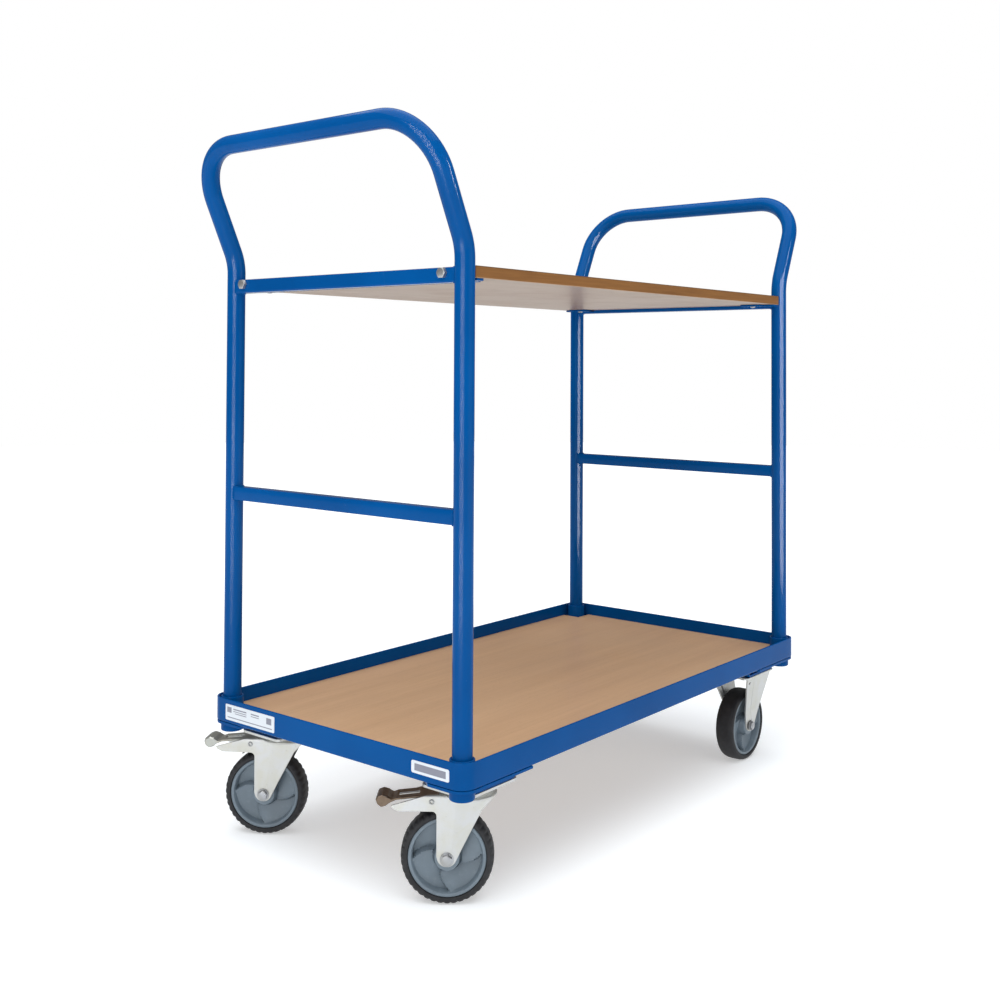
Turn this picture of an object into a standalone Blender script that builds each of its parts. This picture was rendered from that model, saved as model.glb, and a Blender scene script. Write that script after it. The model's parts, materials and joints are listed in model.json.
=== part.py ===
"""Two-tier platform trolley: angle-steel deck frame, two bent-tube handles, a raised shelf and four casters.

Metres, +Z up. X runs along the trolley, from the swivel casters (-X) to the fixed ones (+X). "Left" is +Y.
Everything is laid out from the floor up, under one empty that puts the world origin at the middle of the
deck's top face.
"""

from math import cos, pi, radians, sin, tan

import bmesh
import bpy
from mathutils import Matrix, Vector

# ---- driving dimensions ----
GAP = 0.0003  # clearance between pieces that touch
ARC_STEPS = 5  # segments in a quarter turn
HOLE_STEPS = 3  # the same for small holes and pins
BOLT_SIDES = 12  # sides of a bolt's shaft; its hexagon head uses every second one as a corner

POST_X = 0.449  # handle legs, from the middle of the trolley
POST_Y = 0.2295
POST_INSET = 0.0225  # outer frame face to the leg's axis
TUBE_R = 0.0135
TUBE_WALL = 0.002
TUBE_SIDES = 16

WHEEL_R = 0.0625
CASTER_HEIGHT = 0.160
CASTER_X = 0.381
CASTER_Y = 0.1845
TRAIL = 0.029  # swivel axis to axle
HEADING_LEFT = radians(123.0)  # the way each swivel caster trails at rest
HEADING_RIGHT = radians(128.4)

ANGLE = 0.035  # leg of the frame's steel angle
ANGLE_WALL = 0.003
DECK_THICK = 0.010
SHELF_THICK = 0.016
SHELF_BOTTOM = 0.8285
BAR = 0.020  # square cross rails between the legs
BAR_WALL = 0.002
MID_RAIL_Z = 0.520
TOP_BAR_Z = 0.832

BEND_Z = 0.869  # where the handle starts to lean outwards
GRIP_Z = 1.031
GRIP_REACH = 0.0755  # how far the grip stands outside the legs
LEAN_R = 0.080
GRIP_CORNER_R = 0.080

# ---- sizes that follow ----
FRAME_X = POST_X + POST_INSET
FRAME_Y = POST_Y + POST_INSET
BRACKET_DEPTH = 0.020
FRAME_BOTTOM = CASTER_HEIGHT + BRACKET_DEPTH
FRAME_TOP = FRAME_BOTTOM + ANGLE
DECK_TOP = FRAME_BOTTOM + ANGLE_WALL + GAP + DECK_THICK

SLEEVE_R = 0.01685
SLEEVE_BORE_R = TUBE_R + GAP
SLEEVE_DROP = 0.017  # the sleeve below the frame
SLEEVE_BOTTOM = FRAME_BOTTOM - SLEEVE_DROP
SLEEVE_TOP = FRAME_TOP - 0.0005
CORNER_REACH = SLEEVE_R + 0.0025  # the corner piece, past the leg's axis

GUSSET_THICK = 0.004
GUSSET_TOP = FRAME_BOTTOM - GAP
GUSSET_END = 0.062  # contact with the end rail
PAD_HALF_X = 0.046
PAD_HALF_Y = 0.0425
PLATE_HALF_X = 0.0525
PLATE_HALF_Y = 0.0425
PLATE_THICK = 0.004
PLATE_TOP = CASTER_HEIGHT - GAP

FORK_GAP = 0.0195  # inner face of a fork cheek, from the wheel's middle
FORK_WALL = 0.003
FORK_OUT = FORK_GAP + FORK_WALL
CHEEK_TOP = 0.146
CROWN_R = 0.037
CROWN_TOP = CHEEK_TOP + 0.0005
CROWN_THICK = 0.0035
RACE_R = 0.033
RACE_TOP = CROWN_TOP + 0.0035
KING_PIN_R = 0.006
KING_PIN_HEAD_R = 0.010
LEG_TIP_R = 0.0135
LEG_TIP_UP = 0.0035  # centre of the leg tip's curve, above the axle
LEG_KNEE_Z = 0.089  # where a rigid fork's leg starts to lean outwards
LEG_KNEE_FRONT = 0.0155  # its reach either way along X at the knee
LEG_KNEE_BACK = 0.0310
LEG_TOP_HALF = 0.041
LEG_LEAN = 0.0183
AXLE_R = 0.004
AXLE_HOLE_R = AXLE_R + GAP
NUT_R = 0.0075  # M8 hexagon, across corners
NUT_THICK = 0.0053

TYRE_INNER_R = 0.0528
TYRE_HALF = 0.017
TREAD_HALF = 0.009
SHOULDER = 0.0045
RIM_HALF = 0.0155
RIM_RING_R = 0.0477
HUB_R = 0.019
HUB_HALF = 0.0187
WEB_HALF = 0.004
RIB_COUNT = 4
RIB_START = 0.4  # the first rib's place, in rib spacings
RIB_HALF_DEPTH = 0.0125
RIB_THICK = 0.004
WHEEL_STEPS = 8  # segments in a quarter turn of a wheel

PIVOT_S = 0.0494  # brake pedal's hinge, from the swivel axis
PIVOT_Z = 0.1378
PIVOT_R = 0.003
PEDAL_HALF = 0.017
EAR_THICK = 0.0025
SHOE_CLEAR = 0.0044  # brake shoe to tyre while released
SHOE_START = 0.0575  # the shoe's ends, from the swivel axis
SHOE_END = 0.0655
SHOE_HALF = 0.011

SHELF_HALF_X = POST_X - BAR / 2 - ANGLE_WALL - 0.0008
SHELF_HALF_Y = 0.2365
SHELF_BRACKET_LONG = 0.040
SHELF_BRACKET_UP = 0.0165
SHELF_BRACKET_HALF = 0.020
SHELF_BRACKET_Y = POST_Y - TUBE_R - SHELF_BRACKET_HALF - 2 * GAP
WING_LONG = 0.022  # the bracket flat's extra reach past the leg, along X and across
WING_WIDE = 0.0205
WING_CHAMFER = 0.006
SHELF_BRACKET_WALL = 0.003
BRACKET_TOP = SHELF_BOTTOM - GAP
SHELF_BRACKET_IN = POST_X - BAR / 2 - GAP  # the leg that stands against the bar
SCREW_R = 0.002
SCREW_HEAD_R = 0.0045
SCREW_HEAD = 0.0022
SCREW_SEAT = BRACKET_TOP - SHELF_BRACKET_WALL - GAP
SCREW_LONG = 0.012
SCREW_X = 0.4125
SHELF_BOLT_SHIFT = 0.0051  # from the middle of the bracket towards the handle's leg
SHELF_BOLT_Z = 0.8348

LABEL_THICK = 0.0005
LONG_LABEL = (0.1095, 0.023)  # width, height
LONG_LABEL_Y = 0.1615
SMALL_LABEL = (0.065, 0.016)
SMALL_LABEL_Y = -0.195
LABEL_Z = 0.197

BLUE = (0.004, 0.085, 0.340)
BEECH = (0.510, 0.330, 0.200)
ZINC = (0.600, 0.610, 0.600)
BLACK_RUBBER = (0.025, 0.025, 0.027)
GREY_PLASTIC = (0.160, 0.200, 0.230)
LABEL_WHITE = (0.800, 0.800, 0.800)


# ---- scene, materials and helpers ----
def clear_scene():
    for obj in list(bpy.data.objects):
        bpy.data.objects.remove(obj, do_unlink=True)


def material(name, colour, roughness, metallic):
    mat = bpy.data.materials.new(name)
    mat.use_nodes = True
    shader = mat.node_tree.nodes["Principled BSDF"]
    shader.inputs["Base Color"].default_value = (*colour, 1.0)
    shader.inputs["Roughness"].default_value = roughness
    shader.inputs["Metallic"].default_value = metallic
    return mat


def powder_coat(name):
    return material(name, BLUE, 0.30, 0.0)


def zinc_plate(name):
    return material(name, ZINC, 0.35, 1.0)


def empty(name, parent, location=(0, 0, 0), turn=0.0):
    obj = bpy.data.objects.new(name, None)
    bpy.context.scene.collection.objects.link(obj)
    obj.parent = parent
    obj.location = location
    obj.rotation_euler = (0, 0, turn)
    return obj


def add(name, bm, parent, mat=None, location=(0, 0, 0), turn=0.0):
    """Turns a bmesh into a named object with its faces pointing out, shaded smooth except at its corners."""
    bmesh.ops.recalc_face_normals(bm, faces=bm.faces)
    mesh = bpy.data.meshes.new(name)
    bm.to_mesh(mesh)
    bm.free()
    mesh.shade_smooth()
    mesh.set_sharp_from_angle(angle=radians(35))
    obj = bpy.data.objects.new(name, mesh)
    bpy.context.scene.collection.objects.link(obj)
    obj.parent = parent
    obj.location = location
    obj.rotation_euler = (0, 0, turn)
    if mat:
        mesh.materials.append(mat)
    return obj


def combine(obj, bm, operation):
    """Joins the shape to the object, or cuts it out. The shape is in the object's own coordinates."""
    tool = add(f"{obj.name}_{operation.lower()}_{len(obj.modifiers)}", bm, obj)
    tool.hide_render = True
    tool.display_type = "WIRE"
    modifier = obj.modifiers.new(operation.title(), "BOOLEAN")
    modifier.operation = operation
    modifier.solver = "EXACT"
    modifier.object = tool


def box(low, high):
    bm = bmesh.new()
    size = Vector(high) - Vector(low)
    middle = (Vector(high) + Vector(low)) / 2
    bmesh.ops.create_cube(bm, size=1.0)
    bmesh.ops.scale(bm, vec=size, verts=bm.verts)
    bmesh.ops.translate(bm, vec=middle, verts=bm.verts)
    return bm


def prism(outline, low, high, plane="XY"):
    """An outline of (u, v) points in a plane, raised from low to high along the third axis."""
    bm = bmesh.new()
    put = {
        "XY": lambda u, v, w: (u, v, w),
        "XZ": lambda u, v, w: (u, w, v),
        "YZ": lambda u, v, w: (w, u, v),
    }[plane]
    base = [bm.verts.new(put(u, v, low)) for u, v in outline]
    face = bm.faces.new(base)
    raised = bmesh.ops.extrude_face_region(bm, geom=[face])["geom"]
    offset = Vector(put(0, 0, high - low))
    bmesh.ops.translate(bm, vec=offset, verts=[v for v in raised if isinstance(v, bmesh.types.BMVert)])
    return bm


def turned(profile, steps, axis="Z"):
    """A closed profile of (radius, height) points turned about an axis. A radius of 0 lies on the axis."""
    bm = bmesh.new()
    count = 4 * steps
    rings = []
    for radius, height in profile:
        if radius == 0:
            rings.append([bm.verts.new((0, 0, height))] * count)
            continue
        angles = [2 * pi * i / count for i in range(count)]
        rings.append([bm.verts.new((radius * cos(a), radius * sin(a), height)) for a in angles])
    for here, there in zip(rings, rings[1:] + rings[:1]):
        for i in range(count):
            corners = [here[i], here[(i + 1) % count], there[(i + 1) % count], there[i]]
            corners = list(dict.fromkeys(corners))
            if len(corners) > 2:
                bm.faces.new(corners)
    return laid(bm, axis)


def laid(bm, axis):
    """Turns a shape made on the Z axis on to the named axis."""
    if axis != "Z":
        bmesh.ops.rotate(bm, matrix=Matrix.Rotation(-pi / 2, 3, "X"), verts=bm.verts)
    if axis == "X":
        bmesh.ops.rotate(bm, matrix=Matrix.Rotation(-pi / 2, 3, "Z"), verts=bm.verts)
    return bm


def bolt(stations, axis):
    """A closed shaft through (height, radius) stations on the axis, six-sided where the radius is NUT_R."""
    bm = bmesh.new()
    angles = [2 * pi * i / BOLT_SIDES for i in range(BOLT_SIDES)]
    rings = []
    for height, radius in stations:
        reach = [hexagon_radius(radius, a) if radius == NUT_R else radius for a in angles]
        rings.append([bm.verts.new((r * cos(a), r * sin(a), height)) for a, r in zip(angles, reach)])
    for here, there in zip(rings, rings[1:]):
        for i in range(BOLT_SIDES):
            j = (i + 1) % BOLT_SIDES
            bm.faces.new([here[i], here[j], there[j], there[i]])
    bm.faces.new(rings[0])
    bm.faces.new(rings[-1])
    return laid(bm, axis)


def hexagon_radius(corner_radius, angle):
    """The distance from a hexagon's centre to its outline, the way the angle points."""
    return corner_radius * cos(pi / 6) / cos((angle % (pi / 3)) - pi / 6)


def cylinder(radius, low, high, steps=ARC_STEPS, axis="Z"):
    return turned([(0, low), (radius, low), (radius, high), (0, high)], steps, axis)


def moved(bm, x=0.0, y=0.0, z=0.0):
    bmesh.ops.translate(bm, vec=(x, y, z), verts=bm.verts)
    return bm


def joined(*parts):
    """Several shapes as one bmesh of separate bodies, for one cut or one union."""
    whole = bmesh.new()
    for part in parts:
        mesh = bpy.data.meshes.new("part")
        part.to_mesh(mesh)
        part.free()
        whole.from_mesh(mesh)
        bpy.data.meshes.remove(mesh)
    return whole


def arc(centre, radius, start, end, steps):
    """Points along an arc, both ends included; angles in degrees."""
    angles = [radians(start + (end - start) * i / steps) for i in range(steps + 1)]
    return [(centre[0] + radius * cos(a), centre[1] + radius * sin(a)) for a in angles]


def rounded_path(corners, radii, steps):
    """Points along straight runs through the corners, with an arc of the given radius at each bend."""
    points = [Vector(corners[0])]
    for before, corner, after, radius, count in zip(corners, corners[1:], corners[2:], radii, steps):
        corner = Vector(corner)
        arrive = (Vector(before) - corner).normalized()
        leave = (Vector(after) - corner).normalized()
        half = arrive.angle(leave) / 2
        middle = corner + (arrive + leave).normalized() * radius / sin(half)
        first = corner + arrive * radius / tan(half) - middle
        normal = first.cross(corner + leave * radius / tan(half) - middle)
        sweep = pi - 2 * half
        points += [middle + Matrix.Rotation(sweep * i / count, 3, normal) @ first for i in range(count + 1)]
    return points + [Vector(corners[-1])]


def pipe(points, outer, inner, sides):
    """An open-ended tube along the points, with its cross-section kept square to the path."""
    bm = bmesh.new()
    ways = [(b - a).normalized() for a, b in zip(points, points[1:])]
    ways = [ways[0]] + [(a + b).normalized() for a, b in zip(ways, ways[1:])] + [ways[-1]]
    side = Vector((0, 0, 1)).cross(ways[0])
    side = side.normalized() if side.length > 0.01 else Vector((1, 0, 0))
    shells = []
    for radius in (outer, inner):
        across = side.copy()
        rings = []
        for point, way in zip(points, ways):
            across = (across - way * across.dot(way)).normalized()
            up = way.cross(across)
            angles = [2 * pi * i / sides for i in range(sides)]
            rings.append([bm.verts.new(point + radius * (cos(a) * across + sin(a) * up)) for a in angles])
        for here, there in zip(rings, rings[1:]):
            for i in range(sides):
                j = (i + 1) % sides
                bm.faces.new([here[i], here[j], there[j], there[i]])
        shells.append(rings)
    for end in (0, -1):
        for i in range(sides):
            j = (i + 1) % sides
            bm.faces.new([shells[0][end][i], shells[0][end][j], shells[1][end][j], shells[1][end][i]])
    return bm


# ---- deck frame ----
def frame_rails(trolley):
    """Steel angles with the upright leg outside, ending at the corner pieces."""
    wall = ANGLE_WALL
    section = [(0, 0), (-ANGLE, 0), (-ANGLE, wall), (-wall, wall), (-wall, ANGLE), (0, ANGLE)]
    rails = {
        "side_rail_left": (0.0, FRAME_Y, POST_X),
        "side_rail_right": (pi, FRAME_Y, POST_X),
        "end_rail_swivel": (pi / 2, FRAME_X, POST_Y),
        "end_rail_fixed": (-pi / 2, FRAME_X, POST_Y),
    }
    for name, (turn, outside, post) in rails.items():
        half = post - CORNER_REACH - GAP
        shape = prism([(outside + u, FRAME_BOTTOM + v) for u, v in section], -half, half, "YZ")
        add(name, shape, trolley, powder_coat(name), turn=turn)


def corner_pieces(trolley):
    """Each corner is an angle bent round the leg, with a floor web and a sleeve that the leg plugs into."""
    inner = POST_INSET - ANGLE_WALL
    reach = CORNER_REACH
    wall = [(-reach, POST_INSET)] + arc((0, 0), POST_INSET, 90, 0, ARC_STEPS) + [(POST_INSET, -reach)]
    wall += [(inner, -reach)] + arc((0, 0), inner, 0, 90, ARC_STEPS) + [(-reach, inner)]
    mid = POST_INSET - ANGLE_WALL / 2
    web = [(-reach, mid)] + arc((0, 0), mid, 90, 0, ARC_STEPS) + [(mid, -reach), (-reach, -reach)]
    for turn, (name, x, y) in enumerate(corners("corner")):
        shape = prism(wall, FRAME_BOTTOM, FRAME_TOP)
        piece = add(name, shape, trolley, powder_coat(name), (x, y, 0), turn * pi / 2)
        combine(piece, prism(web, FRAME_BOTTOM + 0.0002, FRAME_BOTTOM + ANGLE_WALL), "UNION")
        combine(piece, cylinder(SLEEVE_R, SLEEVE_BOTTOM, SLEEVE_TOP), "UNION")
        combine(piece, cylinder(SLEEVE_BORE_R, SLEEVE_BOTTOM - 0.01, FRAME_TOP + 0.01), "DIFFERENCE")


def corners(stem):
    """The four corners in turning order, each a quarter turn from the last."""
    return [
        (f"{stem}_fixed_left", POST_X, POST_Y),
        (f"{stem}_swivel_left", -POST_X, POST_Y),
        (f"{stem}_swivel_right", -POST_X, -POST_Y),
        (f"{stem}_fixed_right", POST_X, -POST_Y),
    ]


def caster_brackets(trolley):
    """A gusset under each corner with a folded box below it, which brings the caster plate to its height."""
    low = GUSSET_TOP - GUSSET_THICK
    edge = POST_INSET - 0.0005
    pad_x = POST_X - CASTER_X  # pad centre, inwards from the leg's axis
    pad_y = POST_Y - CASTER_Y
    far_x = -(pad_x + PLATE_HALF_X)
    far_y = -(pad_y + PLATE_HALF_Y)
    near_x = -(pad_x - PLATE_HALF_X)
    gusset = arc((0, 0), edge, 0, 90, ARC_STEPS)
    gusset += [(far_x, edge), (far_x, far_y), (near_x, far_y), (edge, edge - GUSSET_END)]
    pad = (PAD_HALF_X, PAD_HALF_Y)
    for name, x, y in corners("caster_bracket"):
        sx = 1 if x > 0 else -1
        sy = 1 if y > 0 else -1
        outline = [(sx * u, sy * v) for u, v in gusset]
        piece = add(name, prism(outline, low, GUSSET_TOP), trolley, powder_coat(name), (x, y, 0))
        cx, cy = -sx * pad_x, -sy * pad_y
        bottom = CASTER_HEIGHT + GAP
        outer = box((cx - pad[0], cy - pad[1], bottom), (cx + pad[0], cy + pad[1], low + GUSSET_THICK / 2))
        wall = GUSSET_THICK
        inner = box((cx - pad[0] + wall, cy - 0.1, bottom + wall), (cx + pad[0] - wall, cy + 0.1, low))
        combine(piece, outer, "UNION")
        combine(piece, inner, "DIFFERENCE")
        combine(piece, cylinder(SLEEVE_R + 0.0006, bottom - 0.01, FRAME_TOP), "DIFFERENCE")


def deck_board(trolley):
    """The board lies in the frame's tray, notched round the four corner sleeves."""
    half_x = FRAME_X - ANGLE_WALL - 0.001
    half_y = FRAME_Y - ANGLE_WALL - 0.001
    notch_x = POST_X - SLEEVE_R - 0.0015
    notch_y = POST_Y - SLEEVE_R - 0.0015
    quarter = [(half_x, notch_y), (notch_x, notch_y), (notch_x, half_y)]
    outline = quarter + [(-u, v) for u, v in reversed(quarter)]
    outline += [(-u, -v) for u, v in quarter] + [(u, -v) for u, v in reversed(quarter)]
    mat = material("deck_board", BEECH, 0.45, 0.0)
    add("deck_board", prism(outline, DECK_TOP - DECK_THICK, DECK_TOP), trolley, mat)


# ---- handles, rails and shelf ----
def handles(trolley):
    """One tube per end: two legs, a lean outwards, and a grip across the top."""
    bottom = SLEEVE_BOTTOM + 0.001
    leg = (0, -POST_Y, bottom), (0, -POST_Y, BEND_Z), (GRIP_REACH, -POST_Y, GRIP_Z)
    route = list(leg) + [(x, -y, z) for x, y, z in reversed(leg)]
    radii = (LEAN_R, GRIP_CORNER_R, GRIP_CORNER_R, LEAN_R)
    points = rounded_path(route, radii, (3, 7, 7, 3))
    for end, sign in (("swivel", -1), ("fixed", 1)):
        turn = 0.0 if sign > 0 else pi
        name = f"handle_{end}"
        tube = pipe(points, TUBE_R, TUBE_R - TUBE_WALL, TUBE_SIDES)
        add(name, tube, trolley, powder_coat(name), (sign * POST_X, 0, 0), turn)


def square_bar(height):
    """A square tube between the two legs of a handle, open at its ends, on Y."""
    half = POST_Y - TUBE_R - GAP
    out = BAR / 2
    inner = out - BAR_WALL
    signs = ((-1, -1), (1, -1), (1, 1), (-1, 1))
    bm = bmesh.new()
    rings = []
    for y in (-half, half):
        for r in (out, inner):
            rings.append([bm.verts.new((sx * r, y, height + sz * r)) for sx, sz in signs])
    low_out, low_in, high_out, high_in = rings
    for i in range(4):
        j = (i + 1) % 4
        bm.faces.new([low_out[i], low_out[j], high_out[j], high_out[i]])
        bm.faces.new([low_in[i], low_in[j], high_in[j], high_in[i]])
        bm.faces.new([low_out[i], low_out[j], low_in[j], low_in[i]])
        bm.faces.new([high_out[i], high_out[j], high_in[j], high_in[i]])
    return bm


def cross_rails(trolley):
    for end, x in (("swivel", -POST_X), ("fixed", POST_X)):
        name = f"mid_rail_{end}"
        add(name, square_bar(MID_RAIL_Z), trolley, powder_coat(name), (x, 0, 0))
        name = f"top_bar_{end}"
        bar = add(name, square_bar(TOP_BAR_Z), trolley, powder_coat(name), (x, 0, 0))
        for side in (-1, 1):
            hole = cylinder(AXLE_HOLE_R, -BAR, BAR, HOLE_STEPS, "X")
            y = side * (SHELF_BRACKET_Y + SHELF_BOLT_SHIFT)
            combine(bar, moved(hole, y=y, z=SHELF_BOLT_Z), "DIFFERENCE")


def shelf(trolley):
    """The upper board, with a pilot hole for each of its four screws."""
    outline = [(SHELF_HALF_X, SHELF_HALF_Y), (-SHELF_HALF_X, SHELF_HALF_Y)]
    outline += [(-u, -v) for u, v in outline]
    mat = material("shelf_board", BEECH, 0.45, 0.0)
    board = add("shelf_board", prism(outline, SHELF_BOTTOM, SHELF_BOTTOM + SHELF_THICK), trolley, mat)
    hole_top = SCREW_SEAT + SCREW_LONG + GAP
    pilots = []
    for sx, sy in ((1, 1), (-1, 1), (-1, -1), (1, -1)):
        pilot = cylinder(SCREW_R + GAP, SHELF_BOTTOM - 0.01, hole_top, HOLE_STEPS)
        pilots.append(moved(pilot, x=sx * SCREW_X, y=sy * SHELF_BRACKET_Y))
    combine(board, joined(*pilots), "DIFFERENCE")


def shelf_brackets(trolley):
    """Four angle brackets under the upper board, each bolted to a top bar and screwed to the board."""
    foot = BRACKET_TOP - SHELF_BRACKET_WALL
    head = foot + SHELF_BRACKET_UP
    section = [(0, foot), (0, head), (-SHELF_BRACKET_WALL, head), (-SHELF_BRACKET_WALL, BRACKET_TOP)]
    section += [(-SHELF_BRACKET_LONG, BRACKET_TOP), (-SHELF_BRACKET_LONG, foot)]
    for end, sx in (("swivel", -1), ("fixed", 1)):
        turn = 0.0 if sx > 0 else pi
        for side, sy in (("left", 1), ("right", -1)):
            y = sy * SHELF_BRACKET_Y
            name = f"shelf_bracket_{end}_{side}"
            angle = prism(section, -SHELF_BRACKET_HALF, SHELF_BRACKET_HALF, "XZ")
            bracket = add(name, angle, trolley, powder_coat(name), (sx * SHELF_BRACKET_IN, y, 0), turn)
            combine(bracket, bracket_wing(sx * sy), "UNION")
            bolt_hole = cylinder(AXLE_HOLE_R, -0.01, 0.01, HOLE_STEPS, "X")
            screw_hole = cylinder(SCREW_R + GAP, foot - 0.01, BRACKET_TOP + 0.01, HOLE_STEPS)
            across = sx * sy * SHELF_BOLT_SHIFT
            combine(bracket, moved(bolt_hole, y=across, z=SHELF_BOLT_Z), "DIFFERENCE")
            combine(bracket, moved(screw_hole, x=SCREW_X - SHELF_BRACKET_IN), "DIFFERENCE")
            place = (sx * POST_X, y + sy * SHELF_BOLT_SHIFT, SHELF_BOLT_Z)
            shelf_bolt(trolley, f"shelf_bolt_{end}_{side}", place, turn)
            shelf_screw(trolley, f"shelf_screw_{end}_{side}", (sx * SCREW_X, y, SCREW_SEAT))


def bracket_wing(side):
    """The part of a bracket's flat that runs past the handle's leg to the long edge of the board."""
    start = POST_X - TUBE_R - 2 * GAP - SHELF_BRACKET_IN
    end = start - WING_LONG
    inside = SHELF_BRACKET_HALF - 0.005
    outside = SHELF_BRACKET_HALF + WING_WIDE
    outline = [(start, inside), (start, outside), (end + WING_CHAMFER, outside)]
    outline += [(end, outside - WING_CHAMFER), (end, inside)]
    return prism([(u, side * v) for u, v in outline], BRACKET_TOP - SHELF_BRACKET_WALL, BRACKET_TOP)


def shelf_bolt(trolley, name, place, turn):
    """A hexagon bolt through the top bar and the bracket's upright leg, with its head outside."""
    under = BAR / 2 + GAP
    tip = -under - SHELF_BRACKET_WALL
    shape = bolt([(under + NUT_THICK, NUT_R), (under, NUT_R), (under, AXLE_R), (tip, AXLE_R)], "X")
    add(name, shape, trolley, zinc_plate(name), place, turn)


def shelf_screw(trolley, name, place):
    """A pan-head screw driven up through the bracket into the board. Its origin is under its head."""
    profile = [(0, -SCREW_HEAD), (SCREW_HEAD_R * 0.6, -SCREW_HEAD), (SCREW_HEAD_R, -SCREW_HEAD / 3)]
    profile += [(SCREW_HEAD_R, 0), (SCREW_R, 0), (SCREW_R, SCREW_LONG), (0, SCREW_LONG)]
    add(name, turned(profile, HOLE_STEPS), trolley, zinc_plate(name), place)


def labels(trolley):
    """Two blank plates on the outer face of the end rail over the swivel casters."""
    plates = {"label_long": (LONG_LABEL, LONG_LABEL_Y), "label_small": (SMALL_LABEL, SMALL_LABEL_Y)}
    for name, ((width, height), y) in plates.items():
        outside = -(FRAME_X + GAP)
        low = (outside - LABEL_THICK, y - width / 2, LABEL_Z - height / 2)
        high = (outside, y + width / 2, LABEL_Z + height / 2)
        add(name, box(low, high), trolley, material(name, LABEL_WHITE, 0.5, 0.0))


# ---- casters ----
def wheel(carrier, stem, place):
    """Tyre, rim and axle bolt about the Y axis of the carrier. The tyre and the rim turn on the bolt."""
    half = [(TYRE_INNER_R, -TYRE_HALF), (WHEEL_R - SHOULDER, -TYRE_HALF)]
    half += [(WHEEL_R - SHOULDER / 3, -TREAD_HALF - SHOULDER), (WHEEL_R, -TREAD_HALF)]
    name = f"tyre_{stem}"
    tyre = turned(half + [(r, -w) for r, w in reversed(half)], WHEEL_STEPS, "Y")
    add(name, tyre, carrier, material(name, BLACK_RUBBER, 0.75, 0.0), place)
    half = [(AXLE_HOLE_R, HUB_HALF), (HUB_R, HUB_HALF), (HUB_R, WEB_HALF)]
    half += [(RIM_RING_R, WEB_HALF), (RIM_RING_R, RIM_HALF), (TYRE_INNER_R - GAP, RIM_HALF)]
    name = f"rim_{stem}"
    shape = turned(half + [(r, -w) for r, w in reversed(half)], WHEEL_STEPS, "Y")
    rim = add(name, shape, carrier, material(name, GREY_PLASTIC, 0.5, 0.0), place)
    ribs = []
    for i in range(RIB_COUNT):
        low = (HUB_R - 0.004, -RIB_HALF_DEPTH, -RIB_THICK / 2)
        high = (RIM_RING_R + 0.002, RIB_HALF_DEPTH, RIB_THICK / 2)
        rib = box(low, high)
        turn = Matrix.Rotation(2 * pi * (i + RIB_START) / RIB_COUNT, 3, "Y")
        bmesh.ops.rotate(rib, matrix=turn, verts=rib.verts)
        ribs.append(rib)
    combine(rim, joined(*ribs), "UNION")
    axle_bolt(carrier, f"axle_{stem}", place)


def axle_bolt(carrier, name, place):
    """A bolt right through fork and hub, with its head on one side and its nut on the other."""
    near = FORK_OUT + GAP
    half = [(-near - NUT_THICK, NUT_R), (-near, NUT_R), (-near, AXLE_R)]
    stations = half + [(-h, r) for h, r in reversed(half)]
    add(name, bolt(stations, "Y"), carrier, zinc_plate(name), place)


def leg_tip(axle_x):
    """The rounded lower end of a fork leg, from its trailing edge round to its leading edge."""
    return arc((axle_x, WHEEL_R + LEG_TIP_UP), LEG_TIP_R, 0, -155, 2 * ARC_STEPS)


def cheeks(outline):
    return joined(
        prism(outline, FORK_GAP, FORK_OUT, "XZ"),
        prism(outline, -FORK_OUT, -FORK_GAP, "XZ"),
    )


def swivel_plate(trolley, side, y):
    """Mounting plate with the upper race pressed in it and the king pin riveted through the fork's crown."""
    name = f"swivel_plate_{side}"
    low = (-PLATE_HALF_X, -PLATE_HALF_Y, PLATE_TOP - PLATE_THICK)
    high = (PLATE_HALF_X, PLATE_HALF_Y, PLATE_TOP)
    piece = add(name, box(low, high), trolley, zinc_plate(name), (-CASTER_X, y, 0))
    cup_low = RACE_TOP + 0.0006
    head_low = CROWN_TOP - CROWN_THICK - 0.007
    head_high = CROWN_TOP - CROWN_THICK - 0.0006
    post = [(0, head_low), (KING_PIN_HEAD_R, head_low), (KING_PIN_HEAD_R, head_high)]
    post += [(KING_PIN_R, head_high), (KING_PIN_R, cup_low)]
    middle = PLATE_TOP - PLATE_THICK / 2
    post += [(RACE_R - 0.002, cup_low), (RACE_R + 0.002, middle), (0, middle)]
    combine(piece, turned(post, ARC_STEPS), "UNION")


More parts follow.
